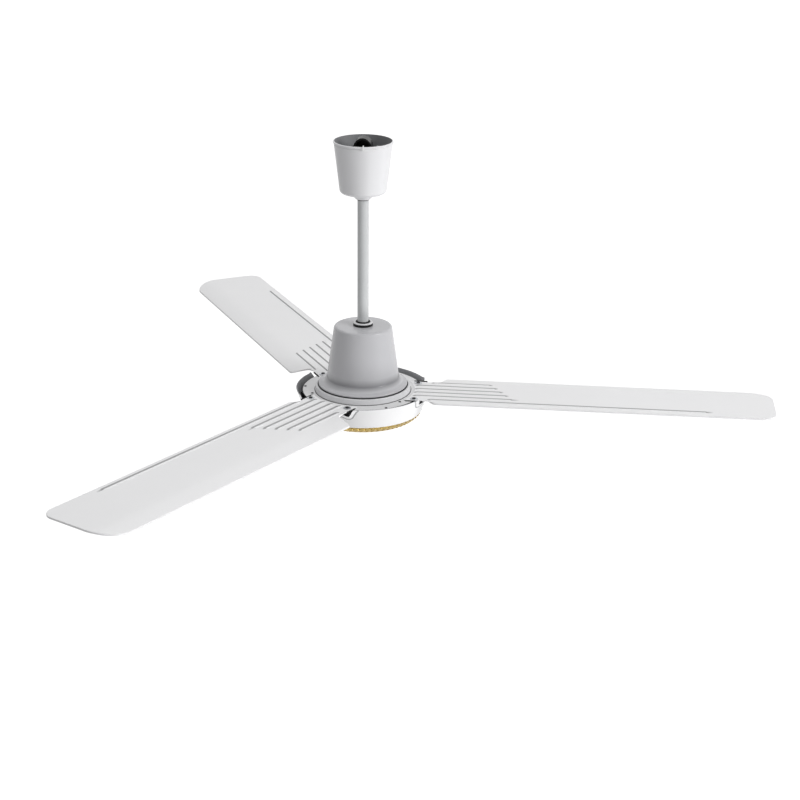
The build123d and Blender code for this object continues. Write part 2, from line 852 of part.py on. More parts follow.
# Pan: tapered dish round the motor, open to the blades at three flanged windows
pan_path = [
    (pan_hole_radius, pan_floor),
    (trim_foot_radius - trim_sheet + 2 * seat_gap, pan_floor),
    (trim_knee_radius - trim_sheet - 2 * seat_gap, trim_knee + free_gap),
    (trim_top_radius - trim_sheet - 2 * seat_gap, pan_wall_foot - 2 * seat_gap),
    (pan_wall_foot_radius, pan_wall_foot),
    (pan_rim_radius, pan_rim),
]
pan_radii = [pan_floor_round, pan_knee_round, pan_step_round, pan_step_round]
window_start = pan_wall_foot_radius / 2
window_reach = pan_rim_radius - window_start + free_gap
with BuildPart() as window_frames:
    for angle in blade_angles:
        with BuildSketch(turned(angle, window_start)):
            make_face(window_outline(pan_sheet))
            make_face(window_outline(0), mode=Mode.SUBTRACT)
        extrude(amount=window_reach)
    with BuildSketch(Plane.XZ):
        with BuildLine():
            Polyline(
                (pan_wall_foot_radius - window_flange, pan_wall_foot),
                (pan_wall_foot_radius - seat_gap, pan_wall_foot),
                (pan_rim_radius - seat_gap, pan_rim),
                (pan_rim_radius - window_flange, pan_rim),
                close=True,
            )
        make_face()
    revolve(axis=Axis.Z, mode=Mode.INTERSECT)

with BuildPart() as pan:
    with BuildSketch(Plane.XZ):
        make_face(sheet_section(pan_path, pan_radii, pan_sheet))
    revolve(axis=Axis.Z)
    add(window_frames.part)
    for angle in blade_angles:
        with BuildSketch(turned(angle, window_start)):
            make_face(window_outline(0))
        extrude(amount=window_reach, mode=Mode.SUBTRACT)

pan.part.label = "pan"
export_step(pan.part, "parts/pan.step")

# Trim ring: curved band that hides the foot of the pan
trim_section = sheet_section(
    [
        (trim_inner_radius, trim_foot),
        (trim_foot_radius, trim_foot),
        (trim_knee_radius, trim_knee),
        (trim_top_radius, trim_top),
    ],
    [trim_foot_round, trim_knee_round],
    trim_sheet,
)
with BuildPart() as trim_ring:
    with BuildSketch(Plane.XZ):
        make_face(trim_section)
    revolve(axis=Axis.Z)

trim_ring.part.label = "trim_ring"
export_step(trim_ring.part, "parts/trim_ring.step")

# Bottom cap: shallow dome snapped into the hole in the pan's floor
cap_rim = pan_floor - seat_gap
cap_bow = (cap_radius**2 + cap_dome**2) / (2 * cap_dome)
with BuildPart() as bottom_cap:
    with BuildSketch(Plane.XZ):
        with BuildLine():
            dome = RadiusArc((0, cap_rim - cap_dome), (cap_radius, cap_rim), -cap_bow)
            Polyline(
                dome @ 1,
                (pan_hole_radius - seat_gap, cap_rim),
                (pan_hole_radius - seat_gap, cap_rim + cap_skirt),
                (pan_hole_radius - cap_wall, cap_rim + cap_skirt),
                (pan_hole_radius - cap_wall, cap_rim),
                (0, cap_rim),
                dome @ 0,
            )
        make_face()
    revolve(axis=Axis.Z)

bottom_cap.part.label = "bottom_cap"
export_step(bottom_cap.part, "parts/bottom_cap.step")

# Pan brackets: bent straps from under the top plate to the pan's wall, midway between blades
bracket_foot = disc_top - bracket_foot_drop
pan_slope = (pan_rim_radius - pan_wall_foot_radius) / (pan_rim - pan_wall_foot)
bracket_outer = pan_rim_radius - (pan_rim - bracket_foot) * pan_slope - pan_sheet - 2 * seat_gap
with BuildPart() as pan_brackets:
    for angle in blade_angles:
        with BuildSketch(radial(angle + pan_screw_angle)):
            with BuildLine():
                path = FilletPolyline(
                    (shield_radius + bracket_gap, disc_underside),
                    (bracket_outer, disc_underside),
                    (bracket_outer, bracket_foot),
                    radius=pan_sheet + seat_gap,
                )
                offset(path, amount=pan_sheet, side=Side.RIGHT)
            make_face()
        extrude(amount=bracket_width / 2, both=True)
    with BuildSketch(Plane.XY.offset(disc_underside)):
        with Locations(*pan_screw_spots):
            Circle(screw_hole_radius)
    extrude(amount=-2 * pan_sheet, mode=Mode.SUBTRACT)

pan_brackets.part.label = "pan_brackets"
export_step(pan_brackets.part, "parts/pan_brackets.step")


def blade_outline():
    """Flat outline of a blade that points along +X, seen from above."""
    with BuildLine() as outline:
        sides = FilletPolyline(
            (blade_root_radius / 2, neck_lead),
            (neck_end, neck_lead),
            (neck_end + lead_shoulder_run, blade_lead),
            (blade_tip, blade_lead),
            (blade_tip, blade_trail),
            (neck_end, blade_trail),
            (neck_end + trail_shoulder_run, neck_trail),
            (blade_root_radius / 2, neck_trail),
            radius=[
                lead_shoulder_round,
                lead_shoulder_round,
                tip_lead_round,
                tip_trail_round,
                trail_corner_round,
                trail_shoulder_round,
            ],
        )
        Line(sides @ 1, sides @ 0)
    return outline.line


def blade_skin(depth, sheet):
    """Section across a blade: a band of the given sheet, its top at the depth below the skin."""
    slope = bend_drop / (blade_trail - bend_line)
    top = disc_top + blade_sheet - depth
    with BuildLine() as skin:
        path = FilletPolyline(
            (blade_trail + edge_depth, top - bend_drop - edge_depth * slope),
            (bend_line, top),
            (blade_lead - edge_depth, top),
            radius=bend_round,
        )
        offset(path, amount=sheet, side=Side.LEFT)
    return skin.line


# Blade: pressed sheet with a drooped trailing side, turned-down edges and raised beads
blade_underside = disc_top - bend_drop - 2 * edge_depth
blade_depth = disc_top + 2 * blade_sheet - blade_underside
with BuildPart() as blade_pocket:
    with BuildSketch(Plane.YZ.offset(blade_root_radius / 2)):
        make_face(blade_skin(blade_sheet, blade_depth))
    extrude(amount=blade_tip)
    with BuildSketch(Plane.XY.offset(blade_underside)):
        make_face(blade_outline())
        offset(amount=-blade_sheet)
        with Locations((neck_end / 2, 0)):
            Rectangle(neck_end + 2 * edge_round, 2 * (neck_trail + edge_depth))
    extrude(amount=blade_depth, mode=Mode.INTERSECT)

bead_starts = [bead_root] * bead_count
bead_starts[0] = neck_end
bead_starts[-1] = neck_end
bead_ends = [short_bead_end - bead_end_step * (number - 1) for number in range(bead_count)]
bead_ends[0] = blade_tip - long_bead_tip_gap


def bead_slots(narrowing):
    """Flat outlines of the beads, narrowed all round for their hollow side."""
    with BuildSketch() as slots:
        for number in range(bead_count):
            length = bead_ends[number] - bead_starts[number]
            middle = (bead_ends[number] + bead_starts[number]) / 2
            with Locations((middle, bead_first + number * bead_pitch)):
                SlotOverall(length - 2 * narrowing, bead_width - 2 * narrowing)
    return slots.sketch


with BuildPart() as blade:
    with BuildSketch(Plane.YZ.offset(blade_root_radius / 2)):
        make_face(blade_skin(0, edge_depth))
    extrude(amount=blade_tip)
    with BuildSketch(Plane.XY.offset(blade_underside)):
        make_face(blade_outline())
        Circle(blade_root_radius, mode=Mode.SUBTRACT)
    extrude(amount=blade_depth, mode=Mode.INTERSECT)
    skin_faces = blade.faces().filter_by(lambda face: face.normal_at().Z > 0.9)
    skin_edges = skin_faces.edges().filter_by(
        lambda edge: len([face for face in skin_faces if edge in face.edges()]) == 1
        and edge.center().X > neck_end
    )
    fillet(skin_edges, radius=edge_round)
    add(blade_pocket.part, mode=Mode.SUBTRACT)
    with BuildSketch(Plane.XY.offset(disc_top + blade_sheet)):
        add(bead_slots(0))
    extrude(amount=bead_height, taper=bead_taper)
    with BuildSketch(Plane.XY.offset(disc_top)):
        add(bead_slots(blade_sheet / 2))
    extrude(amount=bead_height, taper=bead_taper, mode=Mode.SUBTRACT)
    with BuildSketch(Plane.XY.offset(disc_top)):
        with Locations(*blade_spots):
            Circle(screw_hole_radius)
    extrude(amount=blade_sheet, mode=Mode.SUBTRACT)

for number, angle in enumerate(blade_angles, start=1):
    with BuildPart() as placed_blade:
        add(blade.part, rotation=(0, 0, angle))
    placed_blade.part.label = f"blade_{number}"
    export_step(placed_blade.part, f"parts/blade_{number}.step")

# Blade washers: one under each blade screw
with BuildPart() as blade_washers:
    with BuildSketch(Plane.XY.offset(disc_top + blade_sheet)):
        with Locations(*blade_screw_spots):
            Circle(washer_radius)
            Circle(screw_hole_radius, mode=Mode.SUBTRACT)
    extrude(amount=washer_height)

blade_washers.part.label = "blade_washers"
export_step(blade_washers.part, "parts/blade_washers.step")


def screw_set(spots, seat, head_radius, head_height, length):
    """Round-headed cross-recessed screws driven down from the seat at each spot."""
    with BuildPart() as screws:
        with BuildSketch(Plane.XY.offset(seat)):
            with Locations(*spots):
                Circle(head_radius)
        extrude(amount=head_height)
        fillet(screws.faces().group_by(Axis.Z)[-1].edges(), radius=head_height / 2)
        with BuildSketch(Plane.XY.offset(seat + head_height)):
            with Locations(*spots):
                Rectangle(head_radius, recess_width)
                Rectangle(recess_width, head_radius)
        extrude(amount=-recess_depth, mode=Mode.SUBTRACT)
        with BuildSketch(Plane.XY.offset(seat)):
            with Locations(*spots):
                Circle(screw_radius)
        extrude(amount=-length)
    return screws


blade_screws = screw_set(
    blade_screw_spots,
    disc_top + blade_sheet + washer_height,
    screw_head_radius,
    screw_head_height,
    washer_height + blade_sheet + plate_thickness + screw_grip,
)
blade_screws.part.label = "blade_screws"
export_step(blade_screws.part, "parts/blade_screws.step")

cover_screws = screw_set(
    cover_screw_spots, disc_top, small_head_radius, small_head_height, plate_thickness + 3 * screw_grip
)
cover_screws.part.label = "cover_screws"
export_step(cover_screws.part, "parts/cover_screws.step")

pan_screws = screw_set(
    pan_screw_spots, disc_top, small_head_radius, small_head_height, plate_thickness + pan_sheet + screw_grip
)
pan_screws.part.label = "pan_screws"
export_step(pan_screws.part, "parts/pan_screws.step")
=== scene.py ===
import json
import math
from functools import partial

import bmesh
import bpy
from bpy.props import FloatProperty, IntProperty, PointerProperty, StringProperty
from mathutils import Matrix, Vector


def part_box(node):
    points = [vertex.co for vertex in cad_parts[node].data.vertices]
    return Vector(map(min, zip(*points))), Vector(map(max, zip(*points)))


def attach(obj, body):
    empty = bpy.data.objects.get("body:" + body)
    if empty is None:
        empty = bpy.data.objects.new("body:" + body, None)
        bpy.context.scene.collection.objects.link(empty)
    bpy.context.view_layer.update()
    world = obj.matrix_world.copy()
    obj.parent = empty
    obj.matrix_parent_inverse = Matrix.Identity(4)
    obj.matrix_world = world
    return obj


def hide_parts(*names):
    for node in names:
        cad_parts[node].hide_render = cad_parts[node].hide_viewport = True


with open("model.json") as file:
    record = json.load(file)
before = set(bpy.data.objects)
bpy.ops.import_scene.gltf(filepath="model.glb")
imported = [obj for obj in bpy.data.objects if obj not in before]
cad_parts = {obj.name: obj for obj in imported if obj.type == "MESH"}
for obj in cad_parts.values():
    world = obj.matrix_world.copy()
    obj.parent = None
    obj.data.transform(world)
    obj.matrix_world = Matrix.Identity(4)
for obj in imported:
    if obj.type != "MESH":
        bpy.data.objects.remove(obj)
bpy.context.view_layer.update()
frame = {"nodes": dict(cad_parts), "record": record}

bl_info = {
    "name": "Ceiling fan",
    "version": (1, 0, 0),
    "blender": (4, 5, 0),
    "location": "3D View > Sidebar > Fan",
    "description": "Dresses a three-blade ceiling fan with its shells, trim, screws and finishes",
    "category": "Object",
}

MM = 0.001

# Places in millimetres that the pieces share, read from the frame
disc_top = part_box("hub_ring")[0].z / MM
bell_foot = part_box("bell_cover")[0].z / MM
bell_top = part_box("bell_cover")[1].z / MM
canopy_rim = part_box("canopy")[1].z / MM
canopy_neck_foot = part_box("canopy")[0].z / MM
trim_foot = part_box("trim_ring")[0].z / MM
pan_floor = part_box("pan")[0].z / MM
pan_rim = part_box("pan")[1].z / MM
rod_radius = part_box("downrod")[1].x / MM
blade_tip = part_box("blade_1")[1].x / MM
BLADE_ANGLES = (0, 120, 240)


def clamped(value):
    """The value, held between 0 and 1."""
    return min(max(value, 0), 1)


def polar(radius, degrees):
    """Point at a radius and an angle round the Z axis."""
    return radius * math.cos(math.radians(degrees)), radius * math.sin(math.radians(degrees))


# Colours and materials

def linear(hex_colour):
    """Linear RGBA of an sRGB hex colour."""
    parts = [int(hex_colour[i:i + 2], 16) / 255 for i in (1, 3, 5)]
    return [c / 12.92 if c <= 0.04045 else ((c + 0.055) / 1.055) ** 2.4 for c in parts] + [1.0]


def add(tree, kind, inputs=None, **settings):
    """Adds a node, sets its properties, and fills its inputs with values or links them to sockets."""
    made = tree.nodes.new(kind)
    for name, value in settings.items():
        setattr(made, name, value)
    for name, value in (inputs or {}).items():
        if isinstance(value, bpy.types.NodeSocket):
            tree.links.new(value, made.inputs[name])
        else:
            made.inputs[name].default_value = value
    return made


def new_material(name, **constants):
    """A material with a Principled shader, whose constant inputs are set by name."""
    made = bpy.data.materials.new(name)
    made.use_nodes = True
    tree = made.node_tree
    tree.nodes.clear()
    shader = add(tree, "ShaderNodeBsdfPrincipled", {k.replace("_", " "): v for k, v in constants.items()})
    add(tree, "ShaderNodeOutputMaterial", {"Surface": shader.outputs[0]}, name="Material Output")
    return made, tree, shader


def finish(name, colours, grain, rough, bump, crease=None, **constants):
    """A surface whose colour, gloss and relief vary with noise in the object's own space.

    colours: two sRGB hex colours that a slow noise mixes.
    grain: sizes in millimetres of the slow patches and of the fine relief.
    rough: least and greatest roughness.
    bump: height of the fine relief in millimetres.
    painted shade: colour of the shade painted in hollows and beside beads, that the mesh's attribute of the
    same name blends in.
    """
    made, tree, shader = new_material(name, **constants)
    place = add(tree, "ShaderNodeTexCoord").outputs["Object"]
    patches = add(tree, "ShaderNodeTexNoise", {"Vector": place, "Scale": 1 / (grain[0] * MM), "Detail": 3.0})
    relief = add(tree, "ShaderNodeTexNoise", {"Vector": place, "Scale": 1 / (grain[1] * MM), "Detail": 2.0})
    tint = add(tree, "ShaderNodeMix", {0: patches.outputs[0], 6: linear(colours[0]), 7: linear(colours[1])},
               data_type="RGBA").outputs[2]
    # Painted shade: the mesh's attribute of that name blends in a darker colour
    if crease:
        amount = add(tree, "ShaderNodeAttribute", attribute_name="crease").outputs["Fac"]
        tint = add(tree, "ShaderNodeMix", {0: amount, 6: tint, 7: linear(crease)},
                   data_type="RGBA").outputs[2]
    gloss = add(tree, "ShaderNodeMapRange", {0: relief.outputs[0], 1: 0.3, 2: 0.7, 3: rough[0], 4: rough[1]})
    height = add(tree, "ShaderNodeBump",
                 {"Height": relief.outputs[0], "Strength": 1.0, "Distance": bump * MM})
    tree.links.new(tint, shader.inputs["Base Color"])
    tree.links.new(gloss.outputs[0], shader.inputs["Roughness"])
    tree.links.new(height.outputs[0], shader.inputs["Normal"])
    return made


finishes = {}


def material(name):
    """The named finish, made the first time that it is asked for."""
    if name not in finishes:
        colours, grain, rough, bump, more = FINISHES[name]
        picked = bpy.context.scene.fan_colours
        colours = [getattr(picked, c) if hasattr(picked, c) else c for c in colours]
        finishes[name] = finish(name, colours, grain, rough, bump, **more)
    return finishes[name]


# Each finish is named for the real one, or for the painted shade or light that it stands for, and its note
# says what that gives the eye.
FINISHES = {
    # Gloss moulded plastic, white: even and clean, a soft wide gloss
    "gloss_moulded_plastic": (("canopy", "#E2E2E4"), (60, 4), (0.3, 0.38), 0.002,
                              {"Specular_IOR_Level": 0.25}),
    # The canopy's inside: grey and matt, painted shade for the shadow inside the cup
    "matt_mould_inside": (("#8A8B8D", "#7E7F82"), (30, 2), (0.5, 0.65), 0.01, {"IOR": 1.5}),
    # Enamel on the rod: plain grey, glossy
    "rod_enamel": (("rod", "#C2C4C5"), (50, 1.6), (0.24, 0.32), 0.001, {"Specular_IOR_Level": 0.35}),
    # Enamel on the bell: light grey with a clear gloss, with painted shade in the hollow above its foot
    "bell_enamel": (("bell", "#BCBCBF"), (60, 2.2), (0.2, 0.26), 0.001,
                    {"Specular_IOR_Level": 0.25, "crease": "#8E8E91"}),
    # The bell's enamel made lighter for the hub ring and the collar's washer: painted light on their upward
    # faces
    "hub_enamel": (("#DCDCDE", "#D6D6D8"), (60, 2.2), (0.22, 0.3), 0.001, {"Specular_IOR_Level": 0.25}),
    # Satin enamel on the top plate: fine grain, broad dull gloss
    "plate_enamel": (("plate", "#D8D8D9"), (8, 0.9), (0.4, 0.55), 0.02, {"IOR": 1.5}),
    # Gloss enamel on the pan: the whitest piece, with a line of painted shade round each window's flare
    "pan_enamel": (("pan", "#F4F4F5"), (60, 2.2), (0.2, 0.26), 0.001,
                   {"Specular_IOR_Level": 0.35, "crease": "#77787B"}),
    # Painted shade inside the pan and on its cut rim: dull mid grey, for the shadow in the pan's narrow gap
    "pan_primer": (("#AAABAE", "#969799"), (14, 1.0), (0.6, 0.75), 0.01, {"IOR": 1.5}),
    # Powder coat on the blades: satin white, a faint fine texture, a painted shadow line beside each bead
    "blade_powder_coat": (("blade", "#EDEDEE"), (90, 1.2), (0.36, 0.46), 0.006,
                          {"IOR": 1.5, "crease": "#969697"}),
    # Gold lacquer over pressed metal: warm, browner in patches
    "gold_lacquer": (("trim", "#7A6030"), (3.5, 0.8), (0.22, 0.34), 0.02, {"Metallic": 1.0}),
    # Gloss black paint on the shackle, and on the plate of painted shade in its arch
    "black_paint": (("#0E0E0F", "#151516"), (20, 1.2), (0.3, 0.4), 0.006, {"Specular_IOR_Level": 0.3}),
    # Moulded black rubber: matt with a faint bloom; also painted shade, black on the pan's deep inside, on
    # the top plate's edge and underside and on the strips beside the blade necks
    "black_rubber": (("#121213", "#1C1C1D"), (9, 0.7), (0.6, 0.75), 0.012, {"Specular_IOR_Level": 0.2}),
    # Painted shade in dark grey under the hub ring and on its inner step and inside, under the bell: soft
    # dark lines
    "seal_rubber": (("#4C4C4E", "#565658"), (9, 0.7), (0.6, 0.75), 0.012, {"IOR": 1.52}),
    # White nylon clip
    "white_nylon": (("#F2F2F2", "#EAEAEA"), (10, 1.0), (0.3, 0.4), 0.004, {"IOR": 1.53}),
    # Bright zinc on bolts, nuts and washers: cool, a little patchy
    "bright_zinc": (("#C9CBCE", "#B0B3B7"), (3, 0.6), (0.3, 0.45), 0.004, {"Metallic": 1.0}),
    # Dark plated screws
    "dark_plated_steel": (("#3C3C3E", "#2A2A2C"), (2, 0.5), (0.3, 0.45), 0.004, {"Metallic": 1.0}),
    # Ground and turned steel inside the motor
    "ground_steel": (("#A8A9AB", "#8F9093"), (6, 0.4), (0.2, 0.32), 0.003, {"Metallic": 1.0}),
    # Die-cast aluminium: dull, slightly rough
    "cast_aluminium": (("#9C9D9F", "#86878A"), (7, 0.8), (0.45, 0.6), 0.02, {"Metallic": 1.0}),
    # Stacked core sheets, dull and dark
    "core_sheets": (("#6A6B6E", "#55565A"), (4, 0.5), (0.4, 0.55), 0.01, {"Metallic": 1.0}),
    # Enamelled copper wire: orange brown, glossy
    "enamelled_copper": (("#B8672E", "#8C4A20"), (3, 0.8), (0.25, 0.4), 0.03, {"Metallic": 1.0}),
    # Turned brass
    "turned_brass": (("#C9A254", "#AF8A41"), (3, 0.4), (0.2, 0.32), 0.003, {"Metallic": 1.0}),
    # Matt moulded plastics inside the bell
    "capacitor_plastic": (("#D2D2CD", "#C6C6C1"), (12, 1.0), (0.45, 0.55), 0.008, {"IOR": 1.5}),
    "block_nylon": (("#E5E0D1", "#DAD4C4"), (12, 1.0), (0.4, 0.5), 0.008, {"IOR": 1.53}),
}

# The CAD nodes that show each finish
NODES_BY_FINISH = {
    "black_paint": "shackle",
    "black_rubber": "reel reel_spacers canopy_grommet bell_collar",
    "dark_plated_steel": "shackle_bolt pan_screws cover_screws blade_screws",
    "bright_zinc": "rod_bolt coupling_bolt lock_nuts split_pins capacitor_clamp pan_brackets blade_washers",
    "rod_enamel": "downrod",
    "gloss_moulded_plastic": "canopy",
    "white_nylon": "canopy_clip",
    "bell_enamel": "bell_cover",
    "hub_enamel": "collar_ring hub_ring",
    "capacitor_plastic": "capacitor",
    "block_nylon": "terminal_block",
    "turned_brass": "terminal_screws",
    "ground_steel": "motor_shaft inner_races outer_races",
    "core_sheets": "stator_core",
    "enamelled_copper": "stator_coils",
    "cast_aluminium": "rotor_ring lower_shield",
    "plate_enamel": "top_plate",
    "pan_enamel": "pan bottom_cap",
    "gold_lacquer": "trim_ring",
    "blade_powder_coat": "blade_1 blade_2 blade_3",
}
NODE_FINISHES = {node: look for look, nodes in NODES_BY_FINISH.items() for node in nodes.split()}
NODE_BODIES = {
    node: body for body, nodes in frame["record"]["behaviour"]["bodies"].items() for node in nodes
}


# Making and placing meshes

def placed(name, data):
    """A new object of the scene that shows the data."""
    made = bpy.data.objects.new(name, data)
    bpy.context.scene.collection.objects.link(made)
    return made


def piece(name, mesh, node, *more_nodes):
    """Puts a finished mesh in the scene in place of its CAD nodes, on their body."""
    made = placed(name, mesh)
    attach(made, NODE_BODIES[node])
    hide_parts(node, *more_nodes)
    return made


def mesh_of(name, points, faces, edges=()):
    """A mesh from points in millimetres."""
    made = bpy.data.meshes.new(name)
    made.from_pydata([[c * MM for c in point] for point in points], edges, faces)
    return made


def walls(rings, around):
    """Faces between rings of points that follow each other, with as many points in each."""
    faces = []
    for ring in range(rings - 1):
        for k in range(around):
            a, b = ring * around + k, ring * around + (k + 1) % around
            faces.append([a, b, b + around, a + around])
    return faces


def realised(name, mesh, tree, **values):
    """The plain mesh that a geometry nodes tree makes of a mesh, with its faces outwards."""
    maker = placed(name + "_maker", mesh)
    modifier = maker.modifiers.new("maker", "NODES")
    modifier.node_group = tree
    for item in tree.interface.items_tree:
        key = item.name.replace(" ", "_")
        if item.in_out == "INPUT" and key in values:
            modifier[item.identifier] = values[key]
    depsgraph = bpy.context.evaluated_depsgraph_get()
    made = bpy.data.meshes.new_from_object(maker.evaluated_get(depsgraph), depsgraph=depsgraph)
    if not made.polygons:
        raise RuntimeError(f"{name} came out empty")
    bpy.data.objects.remove(maker)
    made.name = name
    face_outwards(made)
    return made


def face_outwards(mesh):
    """Merges a mesh's doubles and turns its faces outwards."""
    shape = bmesh.new()
    shape.from_mesh(mesh)
    bmesh.ops.remove_doubles(shape, verts=shape.verts, dist=1e-6)
    bmesh.ops.recalc_face_normals(shape, faces=shape.faces)
    for face in shape.faces:
        face.smooth = True
    shape.to_mesh(mesh)
    shape.free()


def joined(name, *meshes):
    """One mesh of several, each with its own materials."""
    shape = bmesh.new()
    looks = []
    for mesh in meshes:
        start = len(shape.faces)
        shape.from_mesh(mesh)
        shape.faces.ensure_lookup_table()
        for face in shape.faces[start:]:
            look = mesh.materials[face.material_index]
            if look not in looks:
                looks.append(look)
            face.material_index = looks.index(look)
    made = bpy.data.meshes.new(name)
    shape.to_mesh(made)
    shape.free()
    for look in looks:
        made.materials.append(look)
    return made


def dressed(node, bevel=0.0):
    """A copy of a CAD node's mesh, merged, with softened edges and evenly lit flats."""
    mesh = frame["nodes"][node].data.copy()
    shape = bmesh.new()
    shape.from_mesh(mesh)
    bmesh.ops.remove_doubles(shape, verts=shape.verts, dist=1e-6)
    if bevel:
        bmesh.ops.dissolve_limit(shape, angle_limit=math.radians(0.5), verts=shape.verts, edges=shape.edges)
    for face in shape.faces:
        face.smooth = True
    shape.to_mesh(mesh)
    shape.free()
    mesh.set_sharp_from_angle(angle=math.radians(30))
    maker = placed(node + "_maker", mesh)
    if bevel:
        soft = maker.modifiers.new("soft", "BEVEL")
        soft.width = bevel * MM
        soft.segments = 2
        soft.limit_method = "ANGLE"
        soft.angle_limit = math.radians(30)
    even = maker.modifiers.new("even", "WEIGHTED_NORMAL")
    even.keep_sharp = not bevel
    depsgraph = bpy.context.evaluated_depsgraph_get()
    made = bpy.data.meshes.new_from_object(maker.evaluated_get(depsgraph), depsgraph=depsgraph)
    bpy.data.objects.remove(maker)
    made.name = node + "_dressed"
    made.materials.clear()
    made.materials.append(material(NODE_FINISHES[node]))
    return made


# Profiles: corners in millimetres as (across, along, round)

def way(start, end):
    """Direction from one corner of a profile to the next."""
    return (Vector(end[:2]) - Vector(start[:2])).normalized()


def moved_left(path, sheet):
    """The open path of corners moved to its left by the sheet's thickness, with rounds to match."""
    moved = []
    for number, corner in enumerate(path):
        before = way(path[number - 1], corner) if number else None
        after = way(corner, path[number + 1]) if number + 1 < len(path) else None
        before, after = before or after, after or before
        lefts = [Vector((-side.y, side.x)) for side in (before, after)]
        shift = (lefts[0] + lefts[1]) / (1 + lefts[0].dot(lefts[1])) * sheet
        leftwards = before.x * after.y - before.y * after.x > 0
        rounding = max(corner[2] + (-sheet if leftwards else sheet), 0.2) if corner[2] else 0
        moved.append((corner[0] + shift.x, corner[1] + shift.y, rounding))
    return moved


def corner_points(before, corner, after, rounding, step=9.0):
    """Points of one rounded corner, with one more at either end that keeps the straights flat."""
    here = Vector(corner[:2])
    into, out = way(before, corner), way(corner, after)
    turn = into.angle(out, 0)
    room = min((Vector(before[:2]) - here).length, (Vector(after[:2]) - here).length)
    reach = min(rounding * math.tan(turn / 2), 0.48 * room)
    side = 1 if into.x * out.y - into.y * out.x > 0 else -1
    radius = reach / max(math.tan(turn / 2), 1e-6)
    start = here - into * reach
    middle = start + Vector((-into.y, into.x)) * side * radius
    steps = max(2, math.ceil(math.degrees(turn) / step))
    hold = min(0.5, 0.05 * room)
    points = [start - into * hold]
    for number in range(steps + 1):
        angle = side * turn * number / steps
        arm = start - middle
        points.append(middle + Vector((arm.x * math.cos(angle) - arm.y * math.sin(angle),
                                       arm.x * math.sin(angle) + arm.y * math.cos(angle))))
    points.append(here + out * (reach + hold))
    return points


def rounded_loop(corners, edge_round):
    """Points of a closed profile, and the number of the point at which each corner starts."""
    points, starts = [], []
    for number, corner in enumerate(corners):
        starts.append(len(points))
        points += corner_points(corners[number - 1], corner, corners[(number + 1) % len(corners)],
                                corner[2] or edge_round)
    return points, starts


def rounded_path(corners, step=9.0):
    """Points of an open path."""
    points = [Vector(corners[0][:2])]
    for before, corner, after in zip(corners, corners[1:], corners[2:]):
        points += corner_points(before, corner, after, corner[2], step)
    return points + [Vector(corners[-1][:2])]


# Geometry node trees

def calculated(tree, operation, *values):
    """The output of one sum on sockets and numbers."""
    return add(tree, "ShaderNodeMath", dict(enumerate(values)), operation=operation).outputs[0]


def new_tree(name, **inputs):
    """A geometry nodes tree with named inputs, those inputs' sockets, and its sums."""
    tree = bpy.data.node_groups.new(name, "GeometryNodeTree")
    tree.interface.new_socket(name="Geometry", in_out="INPUT", socket_type="NodeSocketGeometry")
    for title, kind in inputs.items():
        tree.interface.new_socket(name=title.replace("_", " "), in_out="INPUT",
                                  socket_type="NodeSocket" + kind)
    tree.interface.new_socket(name="Geometry", in_out="OUTPUT", socket_type="NodeSocketGeometry")
    return tree, add(tree, "NodeGroupInput").outputs, partial(calculated, tree)


def ended(tree, geometry, *looks):
    """Ends a tree: makes copies real, then sets each look's material, on its selection if it has one."""
    geometry = add(tree, "GeometryNodeRealizeInstances", {"Geometry": geometry}).outputs[0]
    for look in looks:
        geometry = add(tree, "GeometryNodeSetMaterial", {"Geometry": geometry, **look}).outputs[0]
    add(tree, "NodeGroupOutput", {"Geometry": geometry})
    return tree


def turned_tree():
    """Turns a profile of points round the Z axis into a closed shell."""
    tree, given, of = new_tree("turned_shell", Steps_round="Int", Finish="Material", Lining="Material",
                               Lining_from="Int")
    count = add(tree, "GeometryNodeAttributeDomainSize", {"Geometry": given[0]}, component="MESH").outputs[0]
    rows = of("ADD", given[1], 1.0)
    grid = add(tree, "GeometryNodeMeshGrid", {"Vertices X": count, "Vertices Y": rows}).outputs[0]
    index = add(tree, "GeometryNodeInputIndex").outputs[0]
    strip = of("FLOOR", of("DIVIDE", index, given[1]))
    marked = add(tree, "GeometryNodeStoreNamedAttribute", {"Geometry": grid, "Name": "strip", "Value": strip},
                 data_type="FLOAT", domain="FACE").outputs[0]
    along = of("FLOOR", of("DIVIDE", index, rows))
    around = of("SUBTRACT", index, of("MULTIPLY", along, rows))
    angle = of("MULTIPLY", of("DIVIDE", around, given[1]), math.tau)
    place = add(tree, "GeometryNodeInputPosition").outputs[0]
    profile = add(tree, "GeometryNodeSampleIndex", {"Geometry": given[0], "Value": place, "Index": along},
                  data_type="FLOAT_VECTOR", domain="POINT").outputs[0]
    spot = add(tree, "ShaderNodeVectorRotate", {"Vector": profile, "Angle": angle}, rotation_type="Z_AXIS")
    shell = add(tree, "GeometryNodeSetPosition", {"Geometry": marked, "Position": spot.outputs[0]}).outputs[0]
    shell = add(tree, "GeometryNodeMergeByDistance", {"Geometry": shell, "Distance": 1e-6}).outputs[0]
    mark = add(tree, "GeometryNodeInputNamedAttribute", {"Name": "strip"}, data_type="FLOAT").outputs[0]
    inside = add(tree, "FunctionNodeCompare", {0: mark, 1: given[4]}, data_type="FLOAT",
                 operation="GREATER_EQUAL").outputs[0]
    return ended(tree, shell, {"Material": given[2]}, {"Material": given[3], "Selection": inside})


